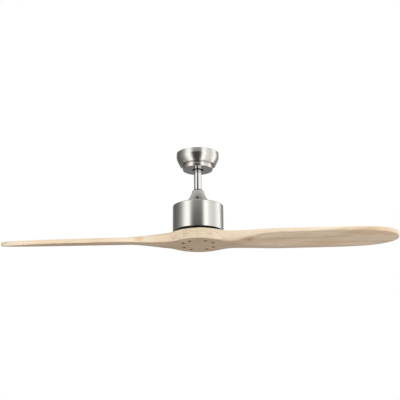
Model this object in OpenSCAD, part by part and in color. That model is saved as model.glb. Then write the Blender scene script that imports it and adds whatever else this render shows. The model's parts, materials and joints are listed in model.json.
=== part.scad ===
// Two-blade ceiling fan on a short downrod.
// The origin is on the ceiling plane at the fan's axis. The fan hangs towards -Z and its blades lie along X.
// The hanger ball swings in the bracket's socket, and the blades turn about Z.

/* [Overall] */
// Diameter swept by the blade tips
fan_span = 1320; // [1000:10:1600]
// Length of downrod that shows between the canopy cover and the coupling cover
rod_exposed = 70.2; // [50:0.1:600]

/* [Canopy] */
// Radius of the canopy's upper band
canopy_r = 72; // [68:0.5:90]
// Height of the canopy, from the ceiling to its floor
canopy_h = 42.5; // [42:0.5:60]
// Height of the straight upper band
canopy_band_h = 16.5; // [8:0.5:24]
// Radius of the bowl where it meets the floor
canopy_floor_r = 59.4; // [58:0.2:66]
// Gap between the canopy's rim and the ceiling
canopy_rim_gap = 0.5; // [0.2:0.1:2]
// Wall of the canopy, of its cover and of the coupling cover
cover_wall = 1.2; // [0.8:0.1:1.6]
// Radius of the stepped screw cover
screw_cover_r = 51.5; // [51:0.5:57]
// Height of the screw cover
screw_cover_h = 14.8; // [13:0.1:24]
// Gap between the downrod and the edge of the cover's mouth
mouth_gap = 6; // [5.5:0.5:9]

/* [Hanging bracket] */
// Distance between the centres of the two ceiling slots
slot_spacing = 80; // [70:1:88]
// Length of a ceiling slot, end to end
slot_length = 14; // [8:1:18]
// Width of a ceiling slot
slot_width = 5.5; // [4:0.1:7]
// Length of the bracket's top plate
plate_length = 112; // [108:1:118]
// Width of the bracket's top plate
plate_width = 34; // [30:1:40]
// Thickness of the bracket's steel
bracket_t = 2.4; // [2:0.1:3]
// Width of the two legs
leg_width = 24; // [18:1:28]

/* [Ball joint] */
// Radius of the hanger ball
ball_r = 26; // [24:0.5:32]
// Height of the ball above its centre
ball_top_h = 9; // [8:0.5:12]
// Largest depth of the ball below its centre
ball_drop = 21; // [18:0.5:24]
// Thickness of the nylon socket liner
liner_t = 2; // [1.5:0.1:3]
// Largest tilt of the downrod on each axis, in degrees
swing_deg = 7; // [3:0.5:7]

/* [Downrod] */
// Outer radius of the downrod
rod_r = 13; // [11:0.5:16]
// Wall of the downrod
rod_wall = 1.8; // [1.5:0.1:2.5]
// Radius of the ball pin and of the clevis pin
pin_r = 3; // [2.5:0.1:3.5]

/* [Coupling] */
// Height of the coupling cover
bell_h = 56; // [52:1:70]
// Width of the coupling cover's shoulder round the downrod
bell_shoulder = 6.2; // [6:0.1:10]
// Height of the straight skirt at the foot of the coupling cover
bell_skirt_h = 12; // [8:1:16]
// Height of the rubber ring round the downrod, on the coupling cover
rubber_ring_h = 3.4; // [1.5:0.1:5]
// Wall of the yoke's sleeve round the downrod
yoke_wall = 5; // [4:0.5:6]
// Radius of the yoke's body
yoke_body_r = 26; // [24:0.5:28]
// Radius of the yoke's flange
yoke_flange_r = 34; // [33:0.5:38]
// Thickness of the yoke's flange
yoke_flange_t = 5; // [4:0.5:8]

/* [Motor housing] */
// Outer radius of the motor housing
housing_r = 85.5; // [80:0.5:110]
// Height of the motor housing
housing_h = 89.5; // [84:0.5:130]
// Wall of the motor housing
housing_wall = 1.5; // [1:0.1:2.5]
// Radius of the housing's top edge
housing_edge_r = 3; // [2:0.5:6]

/* [Motor] */
// Radius of the motor shaft
shaft_r = 8.5; // [7.5:0.5:10]
// Radius of the hole through the motor shaft
shaft_bore_r = 4.5; // [3.5:0.5:5]
// Outer radius of the bearings
bearing_r = 20; // [17.5:0.5:21]
// Width of the bearings
bearing_w = 12; // [10:0.5:14]
// Radius of the bearing balls
bearing_ball_r = 3.3; // [3:0.1:3.5]
// Number of balls in a bearing
bearing_balls = 8; // [6:1:9]
// Side clearance between the spinning shells and the housing
rotor_gap = 5.5; // [3:0.5:8]
// Wall of the shells' skirts
shell_wall = 8; // [7:0.5:10]
// Thickness of the shells' flat ends
shell_t = 4.5; // [3:0.5:6]
// Thickness of the iron ring behind the magnets
iron_t = 3.5; // [2.5:0.5:5]
// Thickness of the magnets
magnet_t = 3.2; // [2.5:0.1:4]
// Number of magnets
magnets = 16; // [8:2:20]
// Air gap between the magnets and the stator
air_gap = 0.8; // [0.6:0.1:1.5]
// Number of stator teeth
teeth = 12; // [6:3:15]

/* [Blades] */
// Gap between the motor housing and the wood
blade_gap = 8.5; // [6:0.5:14]
// Thickness of the plank that the blades are carved from
plank_t = 35; // [28:0.5:45]
// Half depth of the hub, front to back
hub_half = 87; // [78:0.5:100]
// Half length of the hub's bulge, along the blades
hub_length = 111; // [104:1:130]
// Half width of the blade at its waist
waist_half = 44.5; // [38:0.5:52]
// Distance from the leading edge to the blade's axis
lead_w = 62; // [50:0.5:75]
// Distance from the trailing edge to the blade's axis
trail_w = 59; // [50:0.5:75]
// Thickness of the leading edge
lead_t = 11.5; // [8:0.5:14]
// Thickness of the trailing edge
trail_t = 15; // [8:0.5:18]
// Distance that the tip is swept towards the leading edge
tip_sweep = 8; // [0:1:15]
// Gap at the seam between the two blades
seam = 0.3; // [0.2:0.1:1]
// Diameter of the circle of blade screws
screw_circle = 111; // [104:1:120]

/* [Hidden] */
$fn = 96;

// Clearances
shaft_fit = 0.05;   // radial, round every pin, screw and shaft that sits in its hole
swing_fit = 0.3;    // radial, on each side of the socket liner
loose_fit = 0.3;    // radial, round screws in drilled sheet and wood
sink_fit = 0.2;     // radial, round countersunk heads
eps = 1;            // overrun of a cutting tool

// Heights, from the ceiling down
canopy_floor_z = -canopy_h;
cover_bottom_z = canopy_floor_z - screw_cover_h;
bell_top_z = cover_bottom_z - rod_exposed - rubber_ring_h;
housing_top_z = bell_top_z - bell_h;
housing_bottom_z = housing_top_z - housing_h;
blade_top_z = housing_bottom_z - blade_gap;
blade_bottom_z = blade_top_z - plank_t;

// Ball joint
ball_foot_h = min(ball_drop, sqrt(ball_r * ball_r - pow(rod_r + 2.2, 2)));
ball_neck_r = sqrt(ball_r * ball_r - ball_foot_h * ball_foot_h);
combined_swing = swing_deg * sqrt(2);
ball_z = cover_bottom_z + cover_wall + 2 + ball_foot_h + ball_neck_r * sin(combined_swing);
liner_in_r = ball_r + swing_fit;
liner_out_r = liner_in_r + liner_t;
socket_in_r = liner_out_r + swing_fit;
socket_out_r = socket_in_r + bracket_t;
liner_top_deg = -20;
liner_foot_deg = -45;
ball_pin_z = ball_z + 6;
tab_reach = 1.8;
tab_h = 8;
tab_w = 4;
groove_w = 6;

// Bracket
flange_bottom_z = canopy_floor_z + cover_wall;
leg_x = ball_r + 7;
canopy_screw_x = screw_cover_r - 7.5;
flange_half_x = canopy_screw_x + 8;
flange_half_y = 15;
floor_hole_r = socket_out_r + 3;
earth_screw_x = slot_spacing / 2 - 18;
earth_screw_y = plate_width / 2 - 6;

// Screws: shank and head
m3_r = 1.5;
m4_r = 2;
m5_r = 2.5;
m3_head_r = 2.8;
m3_head_h = 1.8;
m4_head_r = 3.6;
m4_head_h = 2.4;
hex_key_r = 1.4;
screw_slot_w = 0.8;

// Terminal block and wires
terminal_l = 30;
terminal_w = 11;
terminal_h = 11;
terminal_y = -plate_width / 2 + 4.5;
terminal_ways = 3;
terminal_pitch = terminal_l / terminal_ways;
terminal_screw_x = [-terminal_pitch / 2, terminal_pitch / 2];
terminal_head_h = 1.5;
terminal_foot_z = -bracket_t - terminal_h - terminal_head_h;
rod_top_z = min(ball_z + 13, terminal_foot_z - 0.4 - rod_r * sin(combined_swing));
wire_entry_r = 2;
clamp_screw_r = 2.1;
wire_r = 1;
wire_pitch = 2.7;
wire_gap = 1.2;
wire_x = 6.5;

// Screw cover
cover_foot_r = screw_cover_r - 1;
cover_edge_r = 1.5;
cover_mouth_r = rod_r + mouth_gap;
cover_mouth_h = 2.5 * cover_wall;
cover_ledge_r = canopy_screw_x - 6;
canopy_head_r = 4;
canopy_head_h = 2.6;
keyhole_deg = 15;
keyhole_r = canopy_head_r + 0.6;
keyhole_neck_r = m4_r + loose_fit;
keyhole_reach = 2 * canopy_screw_x * sin(keyhole_deg / 2);

// Coupling
rod_bore_r = rod_r - rod_wall;
rubber_ring_w = 1.4;
bell_top_r = rod_r + bell_shoulder;
yoke_sleeve_r = rod_r + yoke_wall;
yoke_top_z = bell_top_z - 10;
yoke_body_z = bell_top_z - 29;
yoke_foot_z = housing_top_z;
rod_bottom_z = yoke_body_z - 2;
wire_space_h = 6;
shaft_top_z = rod_bottom_z - wire_space_h - 1;
clevis_z = bell_top_z - 23;
set_screw_z = bell_top_z - 18;
cover_screw_z = bell_top_z - 34;
shaft_pin_z = (shaft_top_z + yoke_foot_z) / 2;
housing_screw_circle = 28;
yoke_bore_gap = 0.1;
channel_half = 8;
channel_y = 17;
wire_hole_y = 24;
grommet_r = 8;
grommet_bore_r = 6.4;
bell_flare_h = bell_h - bell_skirt_h;
bell_foot_r = bell_r(bell_flare_h);
bell_steps = 12;
seat_r = 4;
seat_y = bell_r(bell_top_z - cover_screw_z) - 1.4;
cover_head_r = 3.4;
cover_head_h = 2.2;
lock_nut_r = 4.4;
lock_nut_h = 2.6;
pin_head_r = pin_r + 1.6;
pin_head_h = 2;
clevis_reach = yoke_sleeve_r + 3.6;
clip_r = 0.7;
clip_x = yoke_sleeve_r + 1.8;

// Motor, from the housing's top down
board_top_z = housing_top_z - housing_wall - 7.5;
board_t = 1.6;
board_r = housing_r - housing_wall - 17.5;
board_hole_r = 19;
standoff_circle = board_r - 8;
standoff_first_deg = 30;
standoff_r = 3.4;
capacitor_r = 5;
capacitor_h = 8.5;
rotor_top_z = housing_top_z - 23;
rotor_bottom_z = housing_bottom_z + 13.5;
shell_out_r = housing_r - housing_wall - rotor_gap;
shell_in_r = shell_out_r - shell_wall;
iron_in_r = shell_in_r - iron_t;
magnet_in_r = iron_in_r - magnet_t;
stator_r = magnet_in_r - air_gap;
bearing_lip = 2.5;
upper_bearing_z = rotor_top_z - bearing_lip - bearing_w;
lower_bearing_z = rotor_bottom_z + bearing_lip;
boss_r = bearing_r + 5;
boss_overhang = 1;
hub_gap = 2;
hub_top_z = upper_bearing_z - hub_gap;
hub_bottom_z = lower_bearing_z + bearing_w + hub_gap;
core_top_z = hub_top_z - 1;
core_bottom_z = hub_bottom_z + 1;
core_in_r = boss_r - 1;
shell_split_z = (rotor_top_z + rotor_bottom_z) / 2;
shell_screw_r = (shell_in_r + shell_out_r) / 2;
shell_thread_h = 12;
tooth_w = 11;
tooth_root_r = core_in_r + 9;
tooth_slot_w = 3;
shoe_t = 3;
coil_t = 5;
coil_gap = 0.4;
coil_in_r = tooth_root_r + 2.2;
coil_out_r = stator_r - shoe_t - 1;
end_turn_h = 5.5;
lead_r = 1.1;
lead_x = 4;
lead_notch_w = 5;
lead_notch_h = 6.2;
magnet_over = 3;
magnet_spacing = 2;
magnet_z = core_bottom_z - magnet_over;
magnet_h = core_top_z - core_bottom_z + 2 * magnet_over;
race_t = 3.6;
groove_r = bearing_ball_r + 0.3;
ball_circle_r = (shaft_r + bearing_r) / 2;
shaft_bottom_z = lower_bearing_z - 6;
circlip_t = 1.2;
rotor_screws_n = 6;

// Blade plate and gasket
gasket_t = 2;
plate_t = 5;
plate_bottom_z = blade_top_z + gasket_t;
plate_top_z = plate_bottom_z + plate_t;
plate_r = housing_r - 9;
pedestal_in_r = 29;
pedestal_out_r = 45;
plate_screw_circle = 37;
plate_screw_reach = 10;

// Blades
tip_r = fan_span / 2;
waist_x = hub_length + 9;
full_x = waist_x + 150;
lead_tip_x = tip_r - 180;
trail_tip_x = tip_r - 280;
tip_power = 2.6;
carve_x = hub_length - 31;
lead_carve = 150;
trail_carve = 165;
crease_length = 75;
tip_steps = 14;
blade_stations = concat([seam / 2],
    [for (x = [12:12:hub_length + 29]) x],
    [for (x = [hub_length + 40:14:full_x]) x],
    [for (x = [full_x + 15:30:trail_tip_x]) x],
    [for (k = [1:tip_steps]) trail_tip_x + (tip_r - trail_tip_x) * sin(k * 90 / tip_steps)]);
blade_screw_angles = [28, 62, -28, -62];
screw_head_r = 4;
screw_head_h = 3;
counterbore_r = 4.6;
counterbore_h = 5;

// ---------- shared shapes ----------

// Tube standing on z0
module tube(r_out, r_in, z0, h) {
    translate([0, 0, z0]) difference() {
        cylinder(r = r_out, h = h);
        translate([0, 0, -eps]) cylinder(r = r_in, h = h + 2 * eps);
    }
}

// Zone of a sphere's shell between two heights
module sphere_zone(r_out, r_in, z_low, z_high) {
    intersection() {
        difference() {
            sphere(r = r_out);
            sphere(r = r_in);
        }
        translate([0, 0, z_low]) cylinder(r = r_out + eps, h = z_high - z_low);
    }
}

// Copies placed evenly on a circle
module around(n, r, first = 0) {
    for (k = [0:n - 1]) rotate([0, 0, first + k * 360 / n]) translate([r, 0, 0]) children();
}

// Screw along +Z, with the underside of its cross-slotted pan head at the origin
module pan_screw(shank_r, shank_h, head_r, head_h) {
    cylinder(r = shank_r, h = shank_h);
    translate([0, 0, -head_h]) difference() {
        cylinder(r = head_r, h = head_h);
        for (a = [0, 90]) rotate([0, 0, a])
            translate([-head_r * 0.6, -screw_slot_w / 2, -eps])
                cube([head_r * 1.2, screw_slot_w, head_h * 0.5 + eps]);
    }
}

function unit(v) = v / norm(v);

// Catmull-Rom point between p1 and p2
function spline_point(p0, p1, p2, p3, t) =
    0.5 * (2 * p1 + (p2 - p0) * t + (2 * p0 - 5 * p1 + 4 * p2 - p3) * t * t
        + (3 * p1 - p0 - 3 * p2 + p3) * t * t * t);

function smooth_route(p, steps) = concat(
    [for (i = [0:len(p) - 2]) for (k = [0:steps - 1])
        spline_point(p[max(i - 1, 0)], p[i], p[i + 1], p[min(i + 2, len(p) - 1)], k / steps)],
    [p[len(p) - 1]]);

// Round wire swept along a smooth route; the route never runs along the sideways vector
module wire(points, r, steps = 4, sides = 8, sideways = [1, 0, 0]) {
    path = smooth_route(points, steps);
    last = len(path) - 1;
    rings = [for (i = [0:last])
        let (t = unit(path[min(i + 1, last)] - path[max(i - 1, 0)]),
             u = unit(cross(t, sideways)),
             v = cross(t, u))
        for (k = [0:sides - 1])
            path[i] + r * (cos(k * 360 / sides) * u + sin(k * 360 / sides) * v)];
    walls = [for (i = [0:last - 1]) for (k = [0:sides - 1])
        let (a = i * sides + k, b = i * sides + (k + 1) % sides)
        for (f = [[a, a + sides, b], [b, a + sides, b + sides]]) f];
    caps = [[for (k = [0:sides - 1]) k], [for (k = [sides - 1:-1:0]) last * sides + k]];
    polyhedron(points = rings, faces = concat(walls, caps));
}

// ---------- fixed to the ceiling ----------

// Slotted hole through the top plate, along X
module ceiling_slot() {
    half = (slot_length - slot_width) / 2;
    translate([0, 0, -bracket_t - eps]) {
        for (s = [-1, 1]) translate([s * half, 0, 0])
            cylinder(r = slot_width / 2, h = bracket_t + 2 * eps);
        translate([-half, -slot_width / 2, 0]) cube([2 * half, slot_width, bracket_t + 2 * eps]);
    }
}

// Pressed steel bracket: top plate, two legs, screw flange and the open-fronted ball socket
module hanging_bracket() color("lightgray") {
    difference() {
        union() {
            translate([-plate_length / 2, -plate_width / 2, -bracket_t])
                cube([plate_length, plate_width, bracket_t]);
            for (s = [0, 180]) rotate([0, 0, s])
                translate([leg_x, -leg_width / 2, flange_bottom_z])
                    cube([bracket_t, leg_width, -flange_bottom_z]);
            translate([-flange_half_x, -flange_half_y, flange_bottom_z])
                cube([2 * flange_half_x, 2 * flange_half_y, bracket_t]);
            translate([0, 0, flange_bottom_z]) cylinder(r = leg_x + bracket_t, h = bracket_t);
            translate([ball_r - tab_reach, -tab_w / 2, ball_z - tab_h / 2])
                cube([leg_x - ball_r + tab_reach + eps, tab_w, tab_h]);
            translate([0, 0, ball_z]) sphere_zone(socket_out_r, socket_in_r,
                -socket_out_r * sin(-liner_foot_deg), flange_bottom_z + bracket_t - ball_z);
        }
        translate([0, 0, ball_z]) intersection() {
            sphere(r = socket_in_r);
            translate([0, 0, -2 * ball_r])
                cylinder(r = 2 * ball_r, h = flange_bottom_z + bracket_t - ball_z + 2 * ball_r);
        }
        for (s = [-1, 1]) {
            translate([s * slot_spacing / 2, 0, 0]) ceiling_slot();
            translate([s * canopy_screw_x, 0, flange_bottom_z - eps])
                cylinder(r = m4_r + shaft_fit, h = bracket_t + 2 * eps);
        }
        translate([0, 0, -bracket_t - eps]) cylinder(r = rod_r, h = bracket_t + 2 * eps);
        translate([-rod_r - 1, -2 * leg_x, ball_z - socket_out_r])
            cube([2 * rod_r + 2, 2 * leg_x, socket_out_r - 4]);
        translate([earth_screw_x, earth_screw_y, -bracket_t - eps])
            cylinder(r = m4_r + shaft_fit, h = bracket_t + 2 * eps);
        for (x = terminal_screw_x) translate([x, terminal_y, -bracket_t - eps])
            cylinder(r = m3_r + shaft_fit, h = bracket_t + 2 * eps);
    }
}

// Radius of the bowl at a share of its height, from the band to the floor
function bowl_r(t) = canopy_floor_r + (canopy_r - 0.8 - canopy_floor_r) * (1 - pow(t, 1.1));

// Height and radius of the canopy's outside, from its rim to its floor, moved in by a wall
function canopy_outline(wall) = concat(
    [[canopy_r - wall, -canopy_rim_gap + (wall > 0 ? eps : 0)], [canopy_r - wall, -canopy_band_h + 1]],
    [for (k = [0:8]) [bowl_r(k / 8) - wall,
        -canopy_band_h - (canopy_h - canopy_band_h - wall) * k / 8]]);

// Bowl canopy with a flat floor that is screwed up to the bracket's flange
module canopy() color("silver") difference() {
    rotate_extrude() polygon(concat(canopy_outline(0), [[0, canopy_floor_z], [0, -canopy_rim_gap]]));
    rotate_extrude() polygon(concat(canopy_outline(cover_wall), [[0, flange_bottom_z], [0, eps]]));
    translate([0, 0, canopy_floor_z - eps]) cylinder(r = floor_hole_r, h = cover_wall + 2 * eps);
    for (s = [-1, 1]) translate([s * canopy_screw_x, 0, canopy_floor_z - eps])
        cylinder(r = m4_r + loose_fit, h = cover_wall + 2 * eps);
}

// Two screws, up through the screw cover's keyholes and the canopy's floor into the bracket
module canopy_screws() color("gray")
    for (s = [-1, 1]) translate([s * canopy_screw_x, 0, canopy_floor_z - cover_wall])
        pan_screw(m4_r, 2 * cover_wall + bracket_t + 2, canopy_head_r, canopy_head_h);

// Stepped dish that twists on over the canopy screws
module canopy_screw_cover() color("silver") difference() {
    rotate_extrude() polygon(concat(
        [[screw_cover_r, canopy_floor_z], [screw_cover_r, canopy_floor_z - screw_cover_h / 2]],
        [for (a = [0:15:90]) [cover_foot_r - cover_edge_r + cover_edge_r * cos(a),
            cover_bottom_z + cover_edge_r - cover_edge_r * sin(a)]],
        [[cover_mouth_r, cover_bottom_z],
         [cover_mouth_r, cover_bottom_z + cover_mouth_h],
         [cover_mouth_r + cover_wall, cover_bottom_z + cover_mouth_h],
         [cover_mouth_r + cover_wall, cover_bottom_z + cover_wall],
         [cover_foot_r - cover_edge_r, cover_bottom_z + cover_wall],
         [cover_foot_r - cover_wall, cover_bottom_z + cover_edge_r + 1],
         [screw_cover_r - cover_wall, canopy_floor_z - screw_cover_h / 2],
         [screw_cover_r - cover_wall, canopy_floor_z - cover_wall],
         [cover_ledge_r, canopy_floor_z - cover_wall],
         [cover_ledge_r, canopy_floor_z]]));
    for (s = [0, 180]) rotate([0, 0, s]) translate([0, 0, canopy_floor_z - cover_wall - eps]) {
        translate([canopy_screw_x, 0, 0]) cylinder(r = keyhole_neck_r, h = cover_wall + 1.5 * eps);
        translate([canopy_screw_x, 0, 0]) rotate([0, 0, keyhole_deg / 2])
            translate([-keyhole_neck_r, 0, 0])
                cube([2 * keyhole_neck_r, keyhole_reach, cover_wall + 1.5 * eps]);
        rotate([0, 0, keyhole_deg]) translate([canopy_screw_x, 0, 0])
            cylinder(r = keyhole_r, h = cover_wall + 1.5 * eps);
    }
}

// Terminal block under the front edge of the top plate
module terminal_block() color("whitesmoke") difference() {
    translate([-terminal_l / 2, terminal_y - terminal_w / 2, -bracket_t - terminal_h])
        cube([terminal_l, terminal_w, terminal_h]);
    for (k = [-1:1]) translate([k * terminal_pitch, terminal_y, 0]) {
        translate([0, -terminal_w / 2 - eps, -bracket_t - terminal_h / 2]) rotate([-90, 0, 0])
            cylinder(r = wire_entry_r, h = terminal_w + 2 * eps);
        translate([0, 0, -bracket_t - terminal_h - eps])
            cylinder(r = clamp_screw_r + shaft_fit, h = terminal_h / 2 + eps);
    }
    for (x = terminal_screw_x) translate([x, terminal_y, -bracket_t - terminal_h - eps])
        cylinder(r = m3_r + shaft_fit, h = terminal_h + 2 * eps);
}

// Two screws that hold the block and three that clamp the wires
module terminal_screws() color("goldenrod") {
    for (x = terminal_screw_x) translate([x, terminal_y, -bracket_t - terminal_h])
        pan_screw(m3_r, terminal_h + bracket_t - 0.4, 2.4, terminal_head_h);
    for (k = [-1:1]) translate([k * terminal_pitch, terminal_y, -bracket_t - terminal_h + 0.4])
        difference() {
            cylinder(r = clamp_screw_r, h = 3);
            translate([-clamp_screw_r - eps, -screw_slot_w / 2, -eps])
                cube([2 * clamp_screw_r + 2 * eps, screw_slot_w, 1 + eps]);
        }
}

// Hexagon-headed earth screw on the top plate
module earth_screw() color("seagreen")
    translate([earth_screw_x, earth_screw_y, -bracket_t]) {
        translate([0, 0, -m4_r * 1.5]) cylinder(r = 2 * m4_r, h = m4_r * 1.5, $fn = 6);
        cylinder(r = m4_r, h = bracket_t - 0.4);
    }

// The wires pass beside the ball pin, one behind the other
function upper_wire(k) = [
    [k * terminal_pitch, terminal_y + terminal_w / 2 + 0.2, -bracket_t - terminal_h / 2],
    [k * terminal_pitch * 0.9 + 0.8, terminal_y + terminal_w / 2 + 1.5, -bracket_t - terminal_h / 2 + 0.4],
    [wire_x * 0.7 + 3 * k, (k * wire_pitch - 5) * 0.6, -bracket_t - 5 + 3.4 * k],
    [wire_x, k * wire_pitch, ball_z + 16],
    [wire_x, k * wire_pitch, ball_z + 8],
    [wire_x, k * wire_pitch, ball_z + wire_gap]];

module supply_wires() color("firebrick")
    for (k = [-1:1]) wire(upper_wire(k), wire_r, steps = 4, sideways = [0.97, -0.1, 0.2]);

// ---------- swinging seat ----------

// Nylon ring between the socket and the ball
module socket_liner() color("ivory") translate([0, 0, ball_z])
    sphere_zone(liner_out_r, liner_in_r, liner_in_r * sin(liner_foot_deg), liner_in_r * sin(liner_top_deg));

// ---------- hanging from the ball, not spinning ----------

// Truncated ball with a seat for its pin and a groove for the bracket's tab
module hanger_ball() color("dimgray") translate([0, 0, ball_z]) difference() {
    intersection() {
        sphere(r = ball_r);
        translate([0, 0, -ball_foot_h]) cylinder(r = ball_r + eps, h = ball_foot_h + ball_top_h);
    }
    translate([0, 0, -ball_r - eps]) cylinder(r = rod_r + shaft_fit, h = 2 * ball_r + 2 * eps);
    translate([ball_r - 2 * tab_reach, -groove_w / 2, -ball_r]) cube([ball_r, groove_w, 2 * ball_r]);
    translate([0, 0, ball_pin_z - ball_z]) rotate([90, 0, 0])
        cylinder(r = pin_r + shaft_fit, h = 2 * ball_r + 2 * eps, center = true);
    translate([-pin_r - shaft_fit, -ball_r, ball_pin_z - ball_z])
        cube([2 * (pin_r + shaft_fit), 2 * ball_r, ball_r]);
    rotate([0, -90, 0]) cylinder(r = m5_r + shaft_fit, h = ball_r + eps);
}

// Pin through the downrod that carries the fan's weight on the ball
module ball_pin() color("silver") translate([0, 0, ball_pin_z]) rotate([90, 0, 0])
    cylinder(r = pin_r, h = 2 * (rod_r + 8), center = true);

// Grub screw that grips the downrod in the ball
module ball_set_screw() color("gray")
    translate([-rod_r - shaft_fit, 0, ball_z]) rotate([0, -90, 0]) difference() {
        cylinder(r = m5_r, h = ball_r - rod_r - m5_r);
        translate([0, 0, ball_r - rod_r - 2 * m5_r]) cylinder(r = hex_key_r, h = 2 * m5_r, $fn = 6);
    }

// Hollow rod, cross-drilled for the ball pin and the clevis pin
module downrod() color("gainsboro") difference() {
    tube(rod_r, rod_bore_r, rod_bottom_z, rod_top_z - rod_bottom_z);
    translate([0, 0, ball_pin_z]) rotate([90, 0, 0])
        cylinder(r = pin_r + shaft_fit, h = 3 * rod_r, center = true);
    translate([0, 0, clevis_z]) rotate([0, 90, 0])
        cylinder(r = pin_r + shaft_fit, h = 3 * rod_r, center = true);
}

// In the yoke the wires pass in front of the clevis pin, side by side
function lower_wire_x(k) = -2.2 + k * wire_pitch;
function lower_wire(k) = [
    [wire_x, k * wire_pitch, ball_z - wire_gap],
    [wire_x, k * wire_pitch, ball_z - 14],
    [(wire_x + lower_wire_x(0)) / 2 + 0.75 * k * wire_pitch, wire_x / 2 + 0.75 * k * wire_pitch,
        (ball_z + clevis_z) / 2],
    [lower_wire_x(k), wire_x, clevis_z + 12],
    [lower_wire_x(k), wire_x, clevis_z - 4],
    [lower_wire_x(k), wire_x + 4.5, rod_bottom_z - 3],
    [lower_wire_x(k), wire_hole_y - 6, rod_bottom_z - 3.6],
    [lower_wire_x(k), wire_hole_y, rod_bottom_z - 9],
    [lower_wire_x(k), wire_hole_y, housing_top_z],
    [lower_wire_x(k), wire_hole_y, board_top_z + 0.1]];

module rod_wires() color("firebrick")
    for (k = [-1:1]) wire(lower_wire(k), wire_r, steps = 3, sideways = [0.98, 0.2, 0.02]);

// Narrow black rubber ring that closes the coupling cover round the rod
module rubber_ring() color("black") tube(rod_r + rubber_ring_w, rod_r + 0.2, bell_top_z, rubber_ring_h);

// Radius of the bell at a depth below its top: a slight cone that flares into a trumpet
function bell_r(d) = bell_top_r + 0.135 * d + 0.0098 * d * d;

function bell_outline(wall) = [for (k = [0:bell_steps])
    let (d = max(bell_flare_h * k / bell_steps, wall)) [bell_r(d) - wall * 1.15, bell_top_z - d]];

// Bell-shaped cover over the yoke, resting on the motor housing, with a flat seat for its screw
module coupling_cover() color("silver") difference() {
    union() {
        difference() {
            rotate_extrude() polygon(concat(bell_outline(0),
                [[bell_foot_r, housing_top_z], [0, housing_top_z], [0, bell_top_z]]));
            rotate_extrude() polygon(concat(bell_outline(cover_wall),
                [[bell_foot_r - cover_wall, bell_top_z - bell_flare_h - cover_wall],
                 [bell_foot_r - cover_wall, housing_top_z - eps], [0, housing_top_z - eps],
                 [0, bell_top_z - cover_wall]]));
        }
        translate([0, -seat_y, cover_screw_z]) rotate([-90, 0, 0])
            cylinder(r = seat_r + cover_wall, h = 2 * cover_wall);
    }
    translate([0, 0, bell_top_z - 2 * cover_wall]) cylinder(r = rod_r + 0.5, h = 3 * cover_wall);
    translate([0, -seat_y, cover_screw_z]) rotate([90, 0, 0]) cylinder(r = seat_r, h = 3 * seat_r);
    translate([0, 0, cover_screw_z]) rotate([90, 0, 0])
        cylinder(r = m4_r + loose_fit, h = bell_foot_r + eps);
}

// Screw through the front of the bell into the yoke
module coupling_cover_screw() color("dimgray")
    translate([0, -seat_y, cover_screw_z]) rotate([-90, 0, 0])
        pan_screw(m4_r, seat_y - yoke_body_r + 6, cover_head_r, cover_head_h);

// Cast yoke: sleeve for the downrod, wire channel, socket for the motor shaft and the housing's flange
module motor_yoke() color("darkgray") difference() {
    union() {
        translate([0, 0, yoke_body_z]) cylinder(r = yoke_sleeve_r, h = yoke_top_z - yoke_body_z);
        translate([0, 0, yoke_foot_z]) cylinder(r = yoke_body_r, h = yoke_body_z - yoke_foot_z);
        translate([0, 0, yoke_foot_z]) cylinder(r = yoke_flange_r, h = yoke_flange_t);
    }
    translate([0, 0, rod_bottom_z]) cylinder(r = rod_r + yoke_bore_gap, h = yoke_top_z - rod_bottom_z + eps);
    translate([0, 0, rod_bottom_z - wire_space_h]) cylinder(r = rod_bore_r, h = wire_space_h + eps);
    translate([0, 0, yoke_foot_z - eps])
        cylinder(r = shaft_r + shaft_fit, h = shaft_top_z + eps - yoke_foot_z);
    translate([0, 0, shaft_top_z - eps]) cylinder(r = shaft_bore_r, h = 3 * eps);
    translate([-channel_half, 0, rod_bottom_z - wire_space_h])
        cube([2 * channel_half, yoke_flange_r + eps, wire_space_h]);
    translate([-channel_half, channel_y, yoke_foot_z - eps])
        cube([2 * channel_half, yoke_flange_r, rod_bottom_z - yoke_foot_z + eps]);
    translate([0, 0, clevis_z]) rotate([0, 90, 0])
        cylinder(r = pin_r + shaft_fit, h = 3 * yoke_sleeve_r, center = true);
    translate([0, 0, set_screw_z]) rotate([90, 0, 0])
        cylinder(r = m5_r + shaft_fit, h = 3 * yoke_sleeve_r, center = true);
    translate([0, -yoke_body_r + 6.5, cover_screw_z]) rotate([90, 0, 0])
        cylinder(r = m4_r + shaft_fit, h = yoke_body_r);
    translate([0, 0, shaft_pin_z]) rotate([0, 90, 0])
        cylinder(r = m5_r + shaft_fit, h = 3 * yoke_body_r, center = true);
    around(4, housing_screw_circle, 45) translate([0, 0, yoke_foot_z - eps])
        cylinder(r = m4_r + shaft_fit, h = yoke_flange_t + 1);
}

// Headed pin through the yoke's sleeve and the downrod, with a cross hole for its clip
module clevis_pin() color("silver") difference() {
    translate([0, 0, clevis_z]) rotate([0, 90, 0]) union() {
        translate([0, 0, -yoke_sleeve_r]) cylinder(r = pin_r, h = yoke_sleeve_r + clevis_reach);
        translate([0, 0, -yoke_sleeve_r - pin_head_h]) cylinder(r = pin_head_r, h = pin_head_h);
    }
    translate([clip_x, 0, clevis_z]) cylinder(r = clip_r + 0.1, h = 4 * pin_r, center = true);
}

// Spring clip: a straight leg through the pin and a bowed leg beside it
module r_clip() color("gray") {
    top = clevis_z + pin_r + 4.5;
    side = pin_r + clip_r + 0.2;
    wire([[clip_x, 0, clevis_z - pin_r - 1.5], [clip_x, 0, clevis_z], [clip_x, 0, clevis_z + pin_r + 1],
          [clip_x, 0.6, top - 0.8], [clip_x, 2, top], [clip_x, side - 0.2, top - 0.8],
          [clip_x, pin_r + 0.9, clevis_z + pin_r], [clip_x, side + 0.6, clevis_z],
          [clip_x, pin_r + 1.2, clevis_z - pin_r - 0.6]], clip_r, steps = 3);
}

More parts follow.
